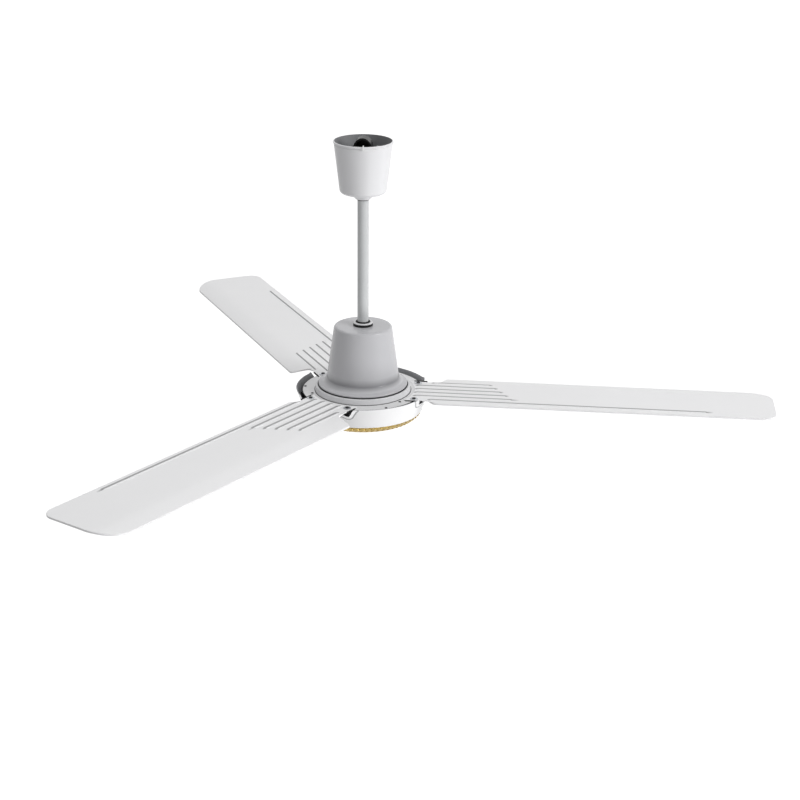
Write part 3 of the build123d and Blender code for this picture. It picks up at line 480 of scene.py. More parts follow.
def turned(name, corners, look, edge_round=0.3, lining=None, lined_from=None, crease=None):
    """A mesh turned from the corners of a closed profile.

    lining, lined_from: the finish past a corner, and that corner's number.
    painted shade: gives how far the painted shade colour shows at a height in millimetres.
    """
    tree = bpy.data.node_groups.get("turned_shell") or turned_tree()
    points, starts = rounded_loop(corners, edge_round)
    loop = [*points, points[0]]
    mesh = realised(
        name, mesh_of(name + "_profile", [(p[0], 0, p[1]) for p in loop], []), tree,
        Steps_round=bpy.context.scene.fan_sizes.steps_round, Finish=material(look),
        Lining=material(lining or look), Lining_from=starts[lined_from] + 2 if lining else len(loop))
    # Painted shade, set by the height of each point
    if crease:
        marks = [crease(vertex.co.z / MM) for vertex in mesh.vertices]
        mesh.attributes.new("crease", "FLOAT", "POINT").data.foreach_set("value", marks)
    return mesh


def ring_tree():
    """Sets copies of a motif in a ring round the Z axis, each turned and leant the same way."""
    tree, given, of = new_tree("ring_of_motifs", Count="Int", Radius="Float", Height="Float",
                               Start="Float", Turn="Float", Lean="Float", Finish="Material")
    spots = add(tree, "GeometryNodePoints", {"Count": given["Count"]}).outputs[0]
    index = add(tree, "GeometryNodeInputIndex").outputs[0]
    share = of("DIVIDE", of("ADD", index, given["Start"]), given["Count"])
    angle = of("MULTIPLY", share, math.tau)
    across = of("MULTIPLY", of("COSINE", angle), given["Radius"])
    along = of("MULTIPLY", of("SINE", angle), given["Radius"])
    spot = add(tree, "ShaderNodeCombineXYZ", {0: across, 1: along, 2: given["Height"]}).outputs[0]
    spots = add(tree, "GeometryNodeSetPosition", {"Geometry": spots, "Position": spot}).outputs[0]
    turning = add(tree, "ShaderNodeCombineXYZ", {0: given["Turn"], 1: given["Lean"], 2: angle}).outputs[0]
    motifs = add(tree, "GeometryNodeInstanceOnPoints",
                 {"Points": spots, "Instance": given[0], "Rotation": turning}).outputs[0]
    return ended(tree, motifs, {"Material": given["Finish"]})


def ring_of(name, motif, look, count, radius, height, start=0.0, turn=0.0, lean=0.0):
    """A ring of copies of a motif, whose front looks along +X."""
    tree = bpy.data.node_groups.get("ring_of_motifs") or ring_tree()
    return realised(name, motif, tree, Count=count, Radius=radius * MM, Height=height * MM, Start=start,
                    Turn=math.radians(turn), Lean=math.radians(lean), Finish=material(look))


def spots_tree():
    """Sets a copy of a motif on each point of a mesh, turned with its blade and, with a seed, by chance."""
    tree, given, of = new_tree("set_on_spots", Motif="Object", Seed="Int", Finish="Material")
    motif = add(tree, "GeometryNodeObjectInfo", {"Object": given["Motif"]}).outputs["Geometry"]
    chance = add(tree, "FunctionNodeRandomValue", {2: 0.0, 3: math.tau, "Seed": given["Seed"]},
                 data_type="FLOAT").outputs[1]
    chance = of("MULTIPLY", chance, of("MINIMUM", given["Seed"], 1.0))
    index = add(tree, "GeometryNodeInputIndex").outputs[0]
    count = add(tree, "GeometryNodeAttributeDomainSize", {"Geometry": given[0]}, component="MESH").outputs[0]
    third = of("FLOOR", of("DIVIDE", of("MULTIPLY", index, 3.0), count))
    angle = of("ADD", chance, of("MULTIPLY", third, math.tau / 3))
    turning = add(tree, "ShaderNodeCombineXYZ", {2: angle}).outputs[0]
    copies = add(tree, "GeometryNodeInstanceOnPoints",
                 {"Points": given[0], "Instance": motif, "Rotation": turning}).outputs[0]
    return ended(tree, copies, {"Material": given["Finish"]})


def on_spots(name, motif, look, spots, height, seed):
    """Copies of a motif on spots of the first blade's third, repeated for the other two."""
    tree = bpy.data.node_groups.get("set_on_spots") or spots_tree()
    places = [Matrix.Rotation(math.radians(turn), 3, "Z") @ Vector((*spot, height))
              for turn in BLADE_ANGLES for spot in spots]
    pattern = placed(name + "_motif", motif)
    made = realised(name, mesh_of(name + "_spots", places, []), tree, Motif=pattern, Seed=seed,
                    Finish=material(look))
    bpy.data.objects.remove(pattern)
    return made


def pressed_tree():
    """Presses a flat blade blank: its beads, the painted shadow line beside each, and the droop of its
    trailing side.
    """
    names = ("First_bead", "Bead_pitch", "Bead_width", "Bead_height", "Long_end", "Short_end", "End_step",
             "Root_start", "Neck_start", "Bend_line", "Bend_slope", "Skin_height", "Line_side",
             "Line_reach", "Last_bead")
    tree, given, of = new_tree("pressed_blade", **dict.fromkeys(names, "Float"), Finish="Material")
    place = add(tree, "GeometryNodeInputPosition").outputs[0]
    out, across, up = add(tree, "ShaderNodeSeparateXYZ", {0: place}).outputs
    share = of("DIVIDE", of("SUBTRACT", across, given["First bead"]),
                       given["Bead pitch"])
    number = of("MAXIMUM", of("ROUND", share), 0.0)
    number = of("MINIMUM", number, given["Last bead"])
    first = of("LESS_THAN", number, 0.5)
    last = of("GREATER_THAN", number, of("SUBTRACT", given["Last bead"], 0.5))
    outer = of("MAXIMUM", first, last)
    short = of("SUBTRACT", given["Short end"], of("MULTIPLY", of("SUBTRACT", number, 1.0), given["End step"]))
    end = add(tree, "ShaderNodeMix", {0: first, 2: short, 3: given["Long end"]}).outputs[0]
    start = add(tree, "ShaderNodeMix", {0: outer, 2: given["Root start"], 3: given["Neck start"]}).outputs[0]
    half = of("MULTIPLY", given["Bead width"], 0.5)
    before = of("SUBTRACT", of("ADD", start, half), out)
    beyond = of("SUBTRACT", out, of("SUBTRACT", end, half))
    lengthwise = of("MAXIMUM", of("MAXIMUM", before, beyond), 0.0)
    middle = of("MULTIPLY_ADD", number, given["Bead pitch"], given["First bead"])
    sideways = of("SUBTRACT", across, middle)
    away = add(tree, "ShaderNodeCombineXYZ", {0: lengthwise, 1: sideways}).outputs[0]
    away = add(tree, "ShaderNodeVectorMath", {0: away}, operation="LENGTH").outputs["Value"]
    rise = add(tree, "ShaderNodeMapRange",
               {0: away, 1: BEAD_CROWN * MM, 2: half, 3: given["Bead height"], 4: 0.0},
               interpolation_type="SMOOTHSTEP").outputs[0]
    past = of("SUBTRACT", across, given["Bend line"])
    soft = of("SQRT", of("MULTIPLY_ADD", past, past, (BEND_SOFTNESS * MM) ** 2))
    droop = of("MULTIPLY", of("ADD", past, soft), 0.5)
    droop = of("MULTIPLY", droop, given["Bend slope"])
    level = of("ADD", of("SUBTRACT", rise, droop),
                       of("ADD", up, given["Skin height"]))
    spot = add(tree, "ShaderNodeCombineXYZ", {0: out, 1: across, 2: level}).outputs[0]
    # Painted shadow: a dark line along one side of each bead
    inner = of("MULTIPLY", given["Line reach"], 0.78)
    line = add(tree, "ShaderNodeMapRange",
               {0: away, 1: inner, 2: given["Line reach"], 3: 1.0, 4: 0.0}).outputs[0]
    side = of("MULTIPLY", sideways, given["Line side"])
    share = add(tree, "ShaderNodeMapRange", {0: side, 1: 0.0, 2: 1.0 * MM, 3: 0.0, 4: 1.0}).outputs[0]
    crease = of("MULTIPLY", line, share)
    marked = add(tree, "GeometryNodeStoreNamedAttribute",
                 {"Geometry": given[0], "Name": "crease", "Value": crease},
                 data_type="FLOAT", domain="POINT").outputs[0]
    skin = add(tree, "GeometryNodeSetPosition", {"Geometry": marked, "Position": spot}).outputs[0]
    return ended(tree, skin, {"Material": given["Finish"]})


# Blade: a flat blank with turned-down edges, pressed afterwards

BLADE_SHEET, EDGE_ROUND, EDGE_DEPTH = 1.2, 0.9, 3.2
NECK_LEAD, NECK_TRAIL, BLADE_LEAD, BLADE_TRAIL = -48.0, 46.5, -57.97, 80.0
BLADE_ROOT, NECK_END = 88.5, 118.0
FIRST_BEAD, BEAD_PITCH, BEAD_WIDTH, LAST_BEAD = -44.5, 16.7, 6.5, 5
BEAD_CROWN = 0.65  # half-width of a bead's flat top
BEAD_END_STEP = 10
BEAD_ENDS = (582, *[256 - BEAD_END_STEP * number for number in range(LAST_BEAD)])
BEND_LINE, BEND_SLOPE, BEND_SOFTNESS = 51, 6.3 / 30.2, 12
# How far the painted shadow line beside each bead reaches, by blade, and with its sign the side that it lies
# on
LINE_REACHES = (8.0, 3.5, -7.0)


def blade_blank():
    """Closed flat blank of the first blade, its top at height 0, with its rim turned down."""
    lead = moved_left([(60, NECK_LEAD, 0), (NECK_END, NECK_LEAD, 10), (NECK_END + 10, BLADE_LEAD, 10),
                       (blade_tip, BLADE_LEAD, 23), (blade_tip, 60, 0)], EDGE_ROUND)
    trail = moved_left([(60, NECK_TRAIL, 0), (129.5, NECK_TRAIL, 7), (138.5, BLADE_TRAIL, 7),
                        (blade_tip, BLADE_TRAIL, 49), (blade_tip, -60, 0)], -EDGE_ROUND)
    sides = [rounded_path(path, 3.0) for path in (lead, trail)]

    def side_at(points, out):
        """Where a side lies across the blade, at a distance out from the axis."""
        for start, end in zip(points, points[1:]):
            if start.x <= out <= end.x:
                share = (out - start.x) / max(end.x - start.x, 1e-9)
                return start.y + (end.y - start.y) * share
        return points[-2].y

    tip = blade_tip - EDGE_ROUND - 0.02
    root_end = 112.0
    shares = [number / 30 for number in range(30)]
    outs = {root_end + 1.3 * number for number in range(30)}
    outs |= {NECK_END - 1 + 0.7 * number for number in range(8)}
    outs |= {150 + 12 * number for number in range(42)}
    outs |= {end - 4.5 + 0.6 * number for end in BEAD_ENDS for number in range(10)}
    outs |= {649 + (tip - 649) * math.sin(math.radians(3 * number)) for number in range(31)}
    outs = sorted(round(out, 4) for out in outs if out <= tip)
    columns = [("root", share) for share in shares] + [("out", out) for out in outs]

    near = (0.0, 0.5, 1.0, 1.5, 1.9, 2.3, 2.7, 3.1, 3.6, 4.4, 5.6, 6.3, 8.0)
    rows = {FIRST_BEAD + BEAD_PITCH * k + sign * step for k in range(LAST_BEAD + 1) for step in near
            for sign in (-1, 1)}
    rows |= {46.5, 48, 49.5, 51, 52.5, 54, 57, 62, 68, 74, -55, BLADE_LEAD + EDGE_ROUND,
             BLADE_TRAIL - EDGE_ROUND}
    rows = sorted(row for row in rows if BLADE_LEAD + EDGE_ROUND <= row <= BLADE_TRAIL - EDGE_ROUND)

    points, numbers = [], {}

    def number_of(out, across):
        """Number of the point at a place, made if it's new."""
        key = (round(out, 3), round(across, 3))
        if key not in numbers:
            numbers[key] = len(points)
            points.append((out, across, 0.0))
        return numbers[key]

    grid = []
    for kind, value in columns:
        low = side_at(sides[0], 100 if kind == "root" else value)
        high = side_at(sides[1], 100 if kind == "root" else value)
        column = []
        for row in rows:
            across = min(max(row, low), high)
            if kind == "root":
                start = math.sqrt((BLADE_ROOT + EDGE_ROUND) ** 2 - across ** 2)
                column.append(number_of(start + (root_end - start) * value, across))
            else:
                column.append(number_of(value, across))
        grid.append(column)
    skin = []
    for left, right in zip(grid, grid[1:]):
        for row in range(len(rows) - 1):
            loop = [left[row], right[row], right[row + 1], left[row + 1]]
            loop = [n for k, n in enumerate(loop) if n != loop[k - 1]]
            if len(set(loop)) > 2:
                skin.append(loop)
    following = {}
    used = {(a, b) for loop in skin for a, b in zip(loop, loop[1:] + loop[:1])}
    for a, b in used:
        if (b, a) not in used:
            following[a] = b
    rim = [next(iter(following))]
    while following[rim[-1]] != rim[0]:
        rim.append(following[rim[-1]])

    flat = list(points)
    faces = list(skin)
    under = len(points)
    points += [(x, y, -BLADE_SHEET) for x, y, _ in flat]
    faces += [[n + under for n in reversed(loop)] for loop in skin]
    outwards = []
    for k, n in enumerate(rim):
        here = Vector(flat[n][:2])
        into = (here - Vector(flat[rim[k - 1]][:2])).normalized()
        out = (Vector(flat[rim[(k + 1) % len(rim)]][:2]) - here).normalized()
        outwards.append(Vector((into.y + out.y, -into.x - out.x)).normalized())
    last = rim
    # The rim's section: outwards, down, and from what the drop counts (0 the skin, 1 the edge, 2 under it)
    steps = [(0.34, 0.07, 0), (0.64, 0.26, 0), (0.83, 0.56, 0), (0.9, 0.9, 0), (0.9, -0.25, 1),
             (0.83, -0.08, 1), (0.65, 0, 1), (0.2, 0, 1), (0.03, -0.1, 2), (0, -0.3, 2)]
    for offset, drop, from_edge in steps:
        ring = []
        for n, outward in zip(rim, outwards):
            x, y, _ = flat[n]
            share = clamped((x - NECK_END + 2) / 8)
            depth = BLADE_SHEET + (EDGE_DEPTH - BLADE_SHEET) * share * share * (3 - 2 * share)
            down = drop if not from_edge else max(depth + drop, 0.95 if from_edge == 1 else BLADE_SHEET)
            ring.append(len(points))
            points.append((x + outward.x * offset, y + outward.y * offset, -down))
        faces += [[last[k - 1], ring[k - 1], ring[k], last[k]] for k in range(len(rim))]
        last = ring
    faces += [[last[k - 1], rim[k - 1] + under, rim[k] + under, last[k]] for k in range(len(rim))]
    return mesh_of("blade_blank", points, faces)


# Property groups

class FanSizes(bpy.types.PropertyGroup):
    """Sizes of what the script adds to the frame."""
    steps_round: IntProperty(
        name="Steps round", description="Steps round each turned shell", default=180, min=48, max=360)
    trim_repeats: IntProperty(
        name="Trim repeats", description="Embossed leaves round the gold trim", default=62, min=12, max=120)
    bead_height: FloatProperty(
        name="Bead height", description="Height of the beads pressed into the blades", default=0.9 * MM,
        min=0.2 * MM, max=3 * MM, subtype="DISTANCE", unit="LENGTH", precision=4)
    window_sill: FloatProperty(
        name="Window sill", description="Depth of the pan's blade windows below the pan's rim",
        default=10.3 * MM, min=6 * MM, max=30 * MM, subtype="DISTANCE", unit="LENGTH", precision=4)


class FanColours(bpy.types.PropertyGroup):
    """Colours of the painted pieces, as sRGB hex values."""
    canopy: StringProperty(name="Canopy", description="Moulded canopy", default="#E6E6E8")
    rod: StringProperty(name="Rod", description="Enamel on the rod", default="#CCCECF")
    bell: StringProperty(name="Bell", description="Enamel on the bell", default="#C2C2C5")
    plate: StringProperty(name="Plate", description="Enamel on the top plate", default="#E4E4E5")
    pan: StringProperty(name="Pan", description="Enamel on the pan", default="#F8F8F9")
    blade: StringProperty(name="Blade", description="Powder coat on the blades", default="#F1F1F2")
    trim: StringProperty(name="Trim", description="Gold lacquer on the trim ring", default="#CDB46A")


# Operators, one for each group of pieces

class FAN_OT_finishes(bpy.types.Operator):
    """Gives every CAD node its finish"""
    bl_idname = "fan.finishes"
    bl_label = "Finishes"

    def execute(self, context):
        for node, look in NODE_FINISHES.items():
            mesh = frame["nodes"][node].data
            if not mesh.materials:
                mesh.materials.append(None)
            for number in range(len(mesh.materials)):
                mesh.materials[number] = material(look)
        return {"FINISHED"}


class FAN_OT_canopy(bpy.types.Operator):
    """Turns the canopy, a tapered cup with a grooved lip and a round neck, and makes its small clip"""
    bl_idname = "fan.canopy"
    bl_label = "Canopy"

    def execute(self, context):
        neck, rim, wall, sheet = canopy_neck_foot, canopy_rim, 49.0, 1.6
        foot = rim - 87.5
        path = [(10.5, neck + 1.5, 0), (12.6, neck + 1.5, 1), (19.5, foot - 2.5, 3), (21, foot, 1),
                (38.6, foot, 7), (wall, rim - 1.5, 3), (wall, rim, 0)]
        lipped = path[:5] + [
            (wall - 0.72, rim - 4.9, 0.3), (wall - 1.3, rim - 4.5, 0.3), (wall - 1.3, rim - 3.4, 0.3),
            (wall + 0.8, rim - 2.6, 0.8), (wall + 0.8, rim, 1.2)]
        # The inside is lined with grey, painted shade
        mesh = turned("canopy_shell", lipped + moved_left(path, sheet)[::-1], "gloss_moulded_plastic",
                      lining="matt_mould_inside", lined_from=len(lipped))
        piece("canopy_shell", mesh, "canopy")
        low, high = (Vector(corner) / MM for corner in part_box("canopy_clip"))
        middle = (low + high) / 2
        tip = Vector((middle.x, middle.y, 0)).normalized()
        across = Vector((-tip.y, tip.x, 0))
        corners = []
        for level, half, reach in ((-5.2, 0.6, 50.4), (-3.4, 1.5, 51.2), (0.6, 1.3, 51.2), (2.6, 0.5, 50.2)):
            for out in (48.0, reach):
                for side in (-half, half):
                    corners.append(tip * out + across * side + Vector((0, 0, rim + level)))
        faces = [(0, 1, 3, 2), (12, 14, 15, 13)]
        for k in (0, 4, 8):
            faces += [(k, k + 4, k + 5, k + 1), (k + 2, k + 3, k + 7, k + 6), (k, k + 2, k + 6, k + 4),
                      (k + 1, k + 5, k + 7, k + 3)]
        clip = mesh_of("clip", corners, faces)
        clip.materials.append(material("white_nylon"))
        face_outwards(clip)
        clip.set_sharp_from_angle(angle=math.radians(30))
        piece("clip", clip, "canopy_clip")
        return {"FINISHED"}


class FAN_OT_hanger(bpy.types.Operator):
    """Softens the shackle, the reel, the bolts and the rod, and closes the back of the shackle's arch with a
    black plate of painted shade
    """
    bl_idname = "fan.hanger"
    bl_label = "Hanger"

    def web(self):
        """A thin black plate in the arch, behind the reel, cut to the arch's own outline: painted shade for
        the dark inside the arch.
        """
        shape = bmesh.new()
        for corner in {tuple(v.co) for v in frame["nodes"]["shackle"].data.vertices if v.co.z > -5 * MM}:
            x, y, z = corner
            shape.verts.new((0.97 * x, 10.2 * MM + 0.05 * y, 0.97 * z))
        bmesh.ops.convex_hull(shape, input=shape.verts)
        made = bpy.data.meshes.new("web")
        shape.to_mesh(made)
        shape.free()
        made.materials.append(material("black_paint"))
        return made

    def execute(self, context):
        shackle = joined("shackle_piece", dressed("shackle", 0.5), self.web())
        piece("shackle_piece", shackle, "shackle")
        for node, bevel in (("reel", 0.2), ("shackle_bolt", 0.3), ("rod_bolt", 0.3),
                            ("coupling_bolt", 0.3), ("lock_nuts", 0.3), ("downrod", 0.0)):
            piece(node + "_piece", dressed(node, bevel), node)
        return {"FINISHED"}


class FAN_OT_bell(bpy.types.Operator):
    """Turns the bell, its rubber collar and the ring on the collar"""
    bl_idname = "fan.bell"
    bl_label = "Bell"

    def execute(self, context):
        foot, top = bell_foot, bell_top
        path = [(76, foot + 0.5, 0), (76, foot + 2.9, 1.3), (68, foot + 5.2, 5), (61.6, foot + 13.5, 5),
                (49, top, 5), (13, top, 0)]
        # The wall carries more points above its hollow, where the painted shade fades out
        path[4:4] = [(61.6 - 12.6 * t, foot + 13.5 + (top - foot - 13.5) * t, 0.5)
                     for t in (0.03, 0.05, 0.08, 0.14)]
        # Painted shade: a darker band in the enamel in the hollow above the foot
        bell = turned("bell_shell", path + moved_left(path, 1.2)[::-1], "bell_enamel",
                      crease=lambda z: clamped((z - foot - 11.3) / 1.2) * clamped((foot + 24 - z) / 10))
        piece("bell_shell", bell, "bell_cover")
        rod = rod_radius + 0.05
        collar = turned("collar", [
            (rod, top - 4, 0), (12.9, top - 4, 0), (12.9, top, 0), (16.6, top, 0.6), (16.6, top + 4.2, 1.0),
            (12.4, top + 4.2, 0.3), (12.2, top + 7.6, 0.8), (rod, top + 8.2, 0.4)], "black_rubber")
        piece("collar", collar, "bell_collar")
        # The washer takes the lighter copy of the bell's enamel, painted light
        washer = turned("collar_washer", [
            (12.3, top + 4.2, 0), (16.9, top + 4.2, 0.6), (16.3, top + 6.2, 1.2), (12.3, top + 6.2, 0.5)],
            "hub_enamel", 0.2)
        piece("collar_washer", washer, "collar_ring")
        return {"FINISHED"}


class FAN_OT_hub(bpy.types.Operator):
    """Turns the hub ring with a thin ring of painted shade under it, and the top plate with black strips of
    painted shade beside each blade's neck
    """
    bl_idname = "fan.hub"
    bl_label = "Hub"

    def strip(self, half):
        """A rounded black strip that lies along the neck, painted shade for the gap under its edge."""
        section = [(-1.5, -0.3), (1.5, -0.3), (1.5, 0.8), (1.2, 1.15), (-1.2, 1.15), (-1.5, 0.8)]
        ends = [(-half, 0.3), (3 - half, 0.9), (half - 1, 1.0), (half, 0.3)]
        points = [(out, y * scale, z) for out, scale in ends for y, z in section]
        caps = [list(range(6)), list(range(18, 24))[::-1]]
        return mesh_of("strip", points, walls(4, 6) + caps)

    def execute(self, context):
        foot = disc_top
        path = [(82, foot + 0.5, 0), (82, foot + 1.7, 1.0), (80.8, foot + 9.8, 1.6), (77.3, foot + 9.8, 0.5),
                (76.9, foot + 7.5, 0.5), (60, foot + 7.5, 0)]
        # The hub ring takes the lighter copy of the bell's enamel, painted light
        shell = turned("hub_shell", path + moved_left(path, 1.5)[::-1], "hub_enamel",
                       lining="seal_rubber", lined_from=3)
        # Painted shade: the ring's inner step and inside are lined dark grey, and a thin dark grey ring lies
        # under its foot
        seal = turned("hub_seal", [
            (70, foot, 0), (83.2, foot, 0), (83.2, foot + 0.5, 0), (70, foot + 0.5, 0)], "seal_rubber", 0.1)
        piece("hub_shell", joined("hub_shell", shell, seal), "hub_ring")
        # The plate's edge and underside are lined black, painted shade for the gap under the pan's rim
        plate = turned("plate", [
            (13, foot, 0), (103.1, foot, 0.4), (104, foot - 0.9, 0.4), (104, foot - 3, 0), (13, foot - 3, 0)],
            "plate_enamel", lining="black_rubber", lined_from=1)
        # Black strips beside each neck, painted shade
        lead = on_spots("lead_edging", self.strip(15.0), "black_rubber", [(92, -49.7)], foot, 0)
        trail = on_spots("trail_edging", self.strip(11.5), "black_rubber", [(95.5, 48.2)], foot, 0)
        piece("plate", joined("plate", plate, lead, trail), "top_plate")
        return {"FINISHED"}


class FAN_OT_pan(bpy.types.Operator):
    """Makes the pan, whose wall dips to a flared window under each blade, and its cap"""
    bl_idname = "fan.pan"
    bl_label = "Pan"

    def execute(self, context):
        """Builds the wall by columns, each a closed loop up the outside and down the inside."""
        sheet, floor, rim = 1.2, pan_floor, pan_rim
        foot = (102.2, floor + 11.4)
        rim_radius, middle = 114.4, 110
        sill = rim - context.scene.fan_sizes.window_sill / MM
        below = [(22, floor, 0), (88.8, floor, 1.5), (96.4, floor + 5.9, 4), (99.3, floor + 11.2, 0.3),
                 (*foot, 0.3), (rim_radius, rim, 0)]
        outer = rounded_path(below)[:-1]
        inner = rounded_path(moved_left(below, sheet))[:-1]
        lean = Vector((rim_radius - foot[0], rim - foot[1])).normalized()
        normal = Vector((lean.y, -lean.x))
        window = rounded_path([(-90, rim, 0), (-52, rim, 1.5), (-49, sill, 4), (36, sill, 6),
                               (46.5, sill - 4.5, 3), (53.5, rim, 1.5), (90, rim, 0)], 12)

        def head(across):
            """Height of the wall's top, which dips at a window."""
            for start, end in zip(window, window[1:]):
                if start.x <= across <= end.x:
                    return start.y + (end.y - start.y) * (across - start.x) / max(end.x - start.x, 1e-9)
            return rim

        def beside(across, height):
            """Distance from a window's edge."""
            here, best = Vector((across, height)), 99.0
            for start, end in zip(window[2:-2], window[3:-2]):
                run = end - start
                share = clamped((here - start).dot(run) / max(run.length_squared, 1e-9))
                best = min(best, (here - start - run * share).length)
            return best

        edges = [point.x for point in window[1:-1]]
        beside_edge = (0.7, 1.5, 2.5, 3.5, 4.5, 6)
        spread = sorted({*[-68 + 1.6 * k for k in range(86)], *edges,
                         *[end + side * step for end in (-50, 50) for side in (-1, 1)
                           for step in beside_edge]})
        # Columns stand at distances across the blade, on a circle of the wall's middle radius
        angles = [math.degrees(math.asin(across / middle)) for across in spread]
        angles += [angles[-1] + (120 + angles[0] - angles[-1]) * k / 36 for k in range(1, 36)]
        columns = [turn + angle for turn in BLADE_ANGLES for angle in angles]
        rows_up = 26
        points, faces, lined, shade_amounts = [], [], [], []
        for column, angle in enumerate(columns):
            near = angle - BLADE_ANGLES[column // len(angles)]
            near = near - 120 if near > 60 else near
            across = middle * math.sin(math.radians(near))
            top = head(across)
            loop = [(p.x, p.y) for p in outer]
            shares = [k / rows_up for k in range(1, rows_up + 1)]
            dark = [0.0] * len(loop)
            for side, rows in ((0, shares), (sheet, shares[::-1])):
                for share in rows:
                    height = foot[1] + (top - 0.25 - foot[1]) * share
                    away = beside(across, height)
                    lift = clamped(1 - away / 5.4)
                    out = foot[0] + (height - foot[1]) * lean.x / lean.y + 2.8 * lift ** 1.3
                    loop.append((out - side * normal.x, height - side * normal.y))
                    # Painted shade: a dark line at a set distance round each window's flare
                    dark.append(max(1 - abs(away - 5.6) / 1.5, 0) if not side else 0.0)
                if side == 0:
                    out, height = loop[-1]
                    loop += [(out - 0.25, top), (out - sheet + 0.25, top)]
                    dark += [0.0, 0.0]
            loop += [(p.x, p.y) for p in inner[::-1]]
            shade_amounts += dark + [0.0] * len(inner)
            size = len(loop)
            turn = math.radians(angle)
            points += [(r * math.cos(turn), r * math.sin(turn), z) for r, z in loop]
        edge = len(outer) + rows_up
        for column in range(len(columns)):
            after = (column + 1) % len(columns)
            near = columns[column] - BLADE_ANGLES[column // len(angles)]
            in_window = abs(near if near < 60 else near - 120) < 31
            for row in range(size):
                below_row = (row + 1) % size
                faces.append([column * size + row, after * size + row, after * size + below_row,
                              column * size + below_row])
                # Inside faces take painted shade: mid grey near the rim, black further down
                inner_face = row >= edge + (2 if in_window else -1)
                deep = points[column * size + row][2] < rim - (9.5 if in_window else 16)
                lined.append(2 if inner_face and deep else int(inner_face))
        mesh = mesh_of("pan_shell", points, faces)
        for look in ("pan_enamel", "pan_primer", "black_rubber"):
            mesh.materials.append(material(look))
        for face, look in zip(mesh.polygons, lined):
            face.material_index = look
        mesh.attributes.new("crease", "FLOAT", "POINT").data.foreach_set("value", shade_amounts)
        face_outwards(mesh)
        mesh.set_sharp_from_angle(angle=math.radians(40))
        piece("pan_shell", mesh, "pan")
        piece("cap", dressed("bottom_cap", 0.3), "bottom_cap")
        return {"FINISHED"}


class FAN_OT_trim(bpy.types.Operator):
    """Makes the gold trim ring: a curved band under two rows of slanting leaves"""
    bl_idname = "fan.trim"
    bl_label = "Trim"

    def execute(self, context):
        foot, count = trim_foot, context.scene.fan_sizes.trim_repeats
        path = [(86, foot, 0), (89.6, foot, 2), (97.6, foot + 6.8, 6), (101, foot + 11.9, 0)]
        band = turned("trim_band", path + moved_left(path, 1.3)[::-1], "gold_lacquer")
        leaf = []
        for level in range(7):
            tall = math.sin(math.pi * level / 6)
            for k in range(8):
                side = math.tau * k / 8
                leaf.append((1.0 * tall * math.cos(side), 1.5 * tall * math.sin(side),
                             -4.2 * math.cos(math.pi * level / 6)))
        rings = [
            ring_of(name, mesh_of("leaf", leaf, walls(7, 8)), "gold_lacquer", count, radius, foot + height,
                    start=start, turn=turn, lean=lean)
            for name, radius, height, start, turn, lean in (("upper_leaves", 99.4, 8.4, 0.0, 38, 30),
                                                            ("lower_leaves", 93.7, 3.4, 0.5, -38, 46))
        ]
        piece("trim", joined("trim", band, *rings), "trim_ring")
        return {"FINISHED"}


class FAN_OT_blades(bpy.types.Operator):
    """Presses the three blades from flat blanks"""
    bl_idname = "fan.blades"
    bl_label = "Blades"

    def execute(self, context):
        blank, tree = blade_blank(), pressed_tree()
        # Each blade's painted shadow line lies on the side of its beads that its reach's sign gives
        for number, (angle, reach) in enumerate(zip(BLADE_ANGLES, LINE_REACHES), start=1):
            mesh = self.pressed(context, blank, tree, reach)
            mesh.transform(Matrix.Rotation(math.radians(angle), 4, "Z"))
            piece(f"blade_skin_{number}", mesh, f"blade_{number}")
        return {"FINISHED"}

    def pressed(self, context, blank, tree, reach):
        """One blade, pressed from the blank."""
        mesh = realised(
            "blade", blank, tree, First_bead=FIRST_BEAD * MM, Bead_pitch=BEAD_PITCH * MM,
            Bead_width=BEAD_WIDTH * MM, Bead_height=context.scene.fan_sizes.bead_height,
            Long_end=BEAD_ENDS[0] * MM, Short_end=BEAD_ENDS[1] * MM, End_step=BEAD_END_STEP * MM,
            Root_start=92 * MM, Neck_start=NECK_END * MM, Bend_line=BEND_LINE * MM, Bend_slope=BEND_SLOPE,
            Skin_height=(disc_top + BLADE_SHEET) * MM, Last_bead=float(LAST_BEAD),
            Line_side=math.copysign(1.0, reach), Line_reach=abs(reach) * MM,
            Finish=material("blade_powder_coat"))
        mesh.set_sharp_from_angle(angle=math.radians(50))
        return mesh


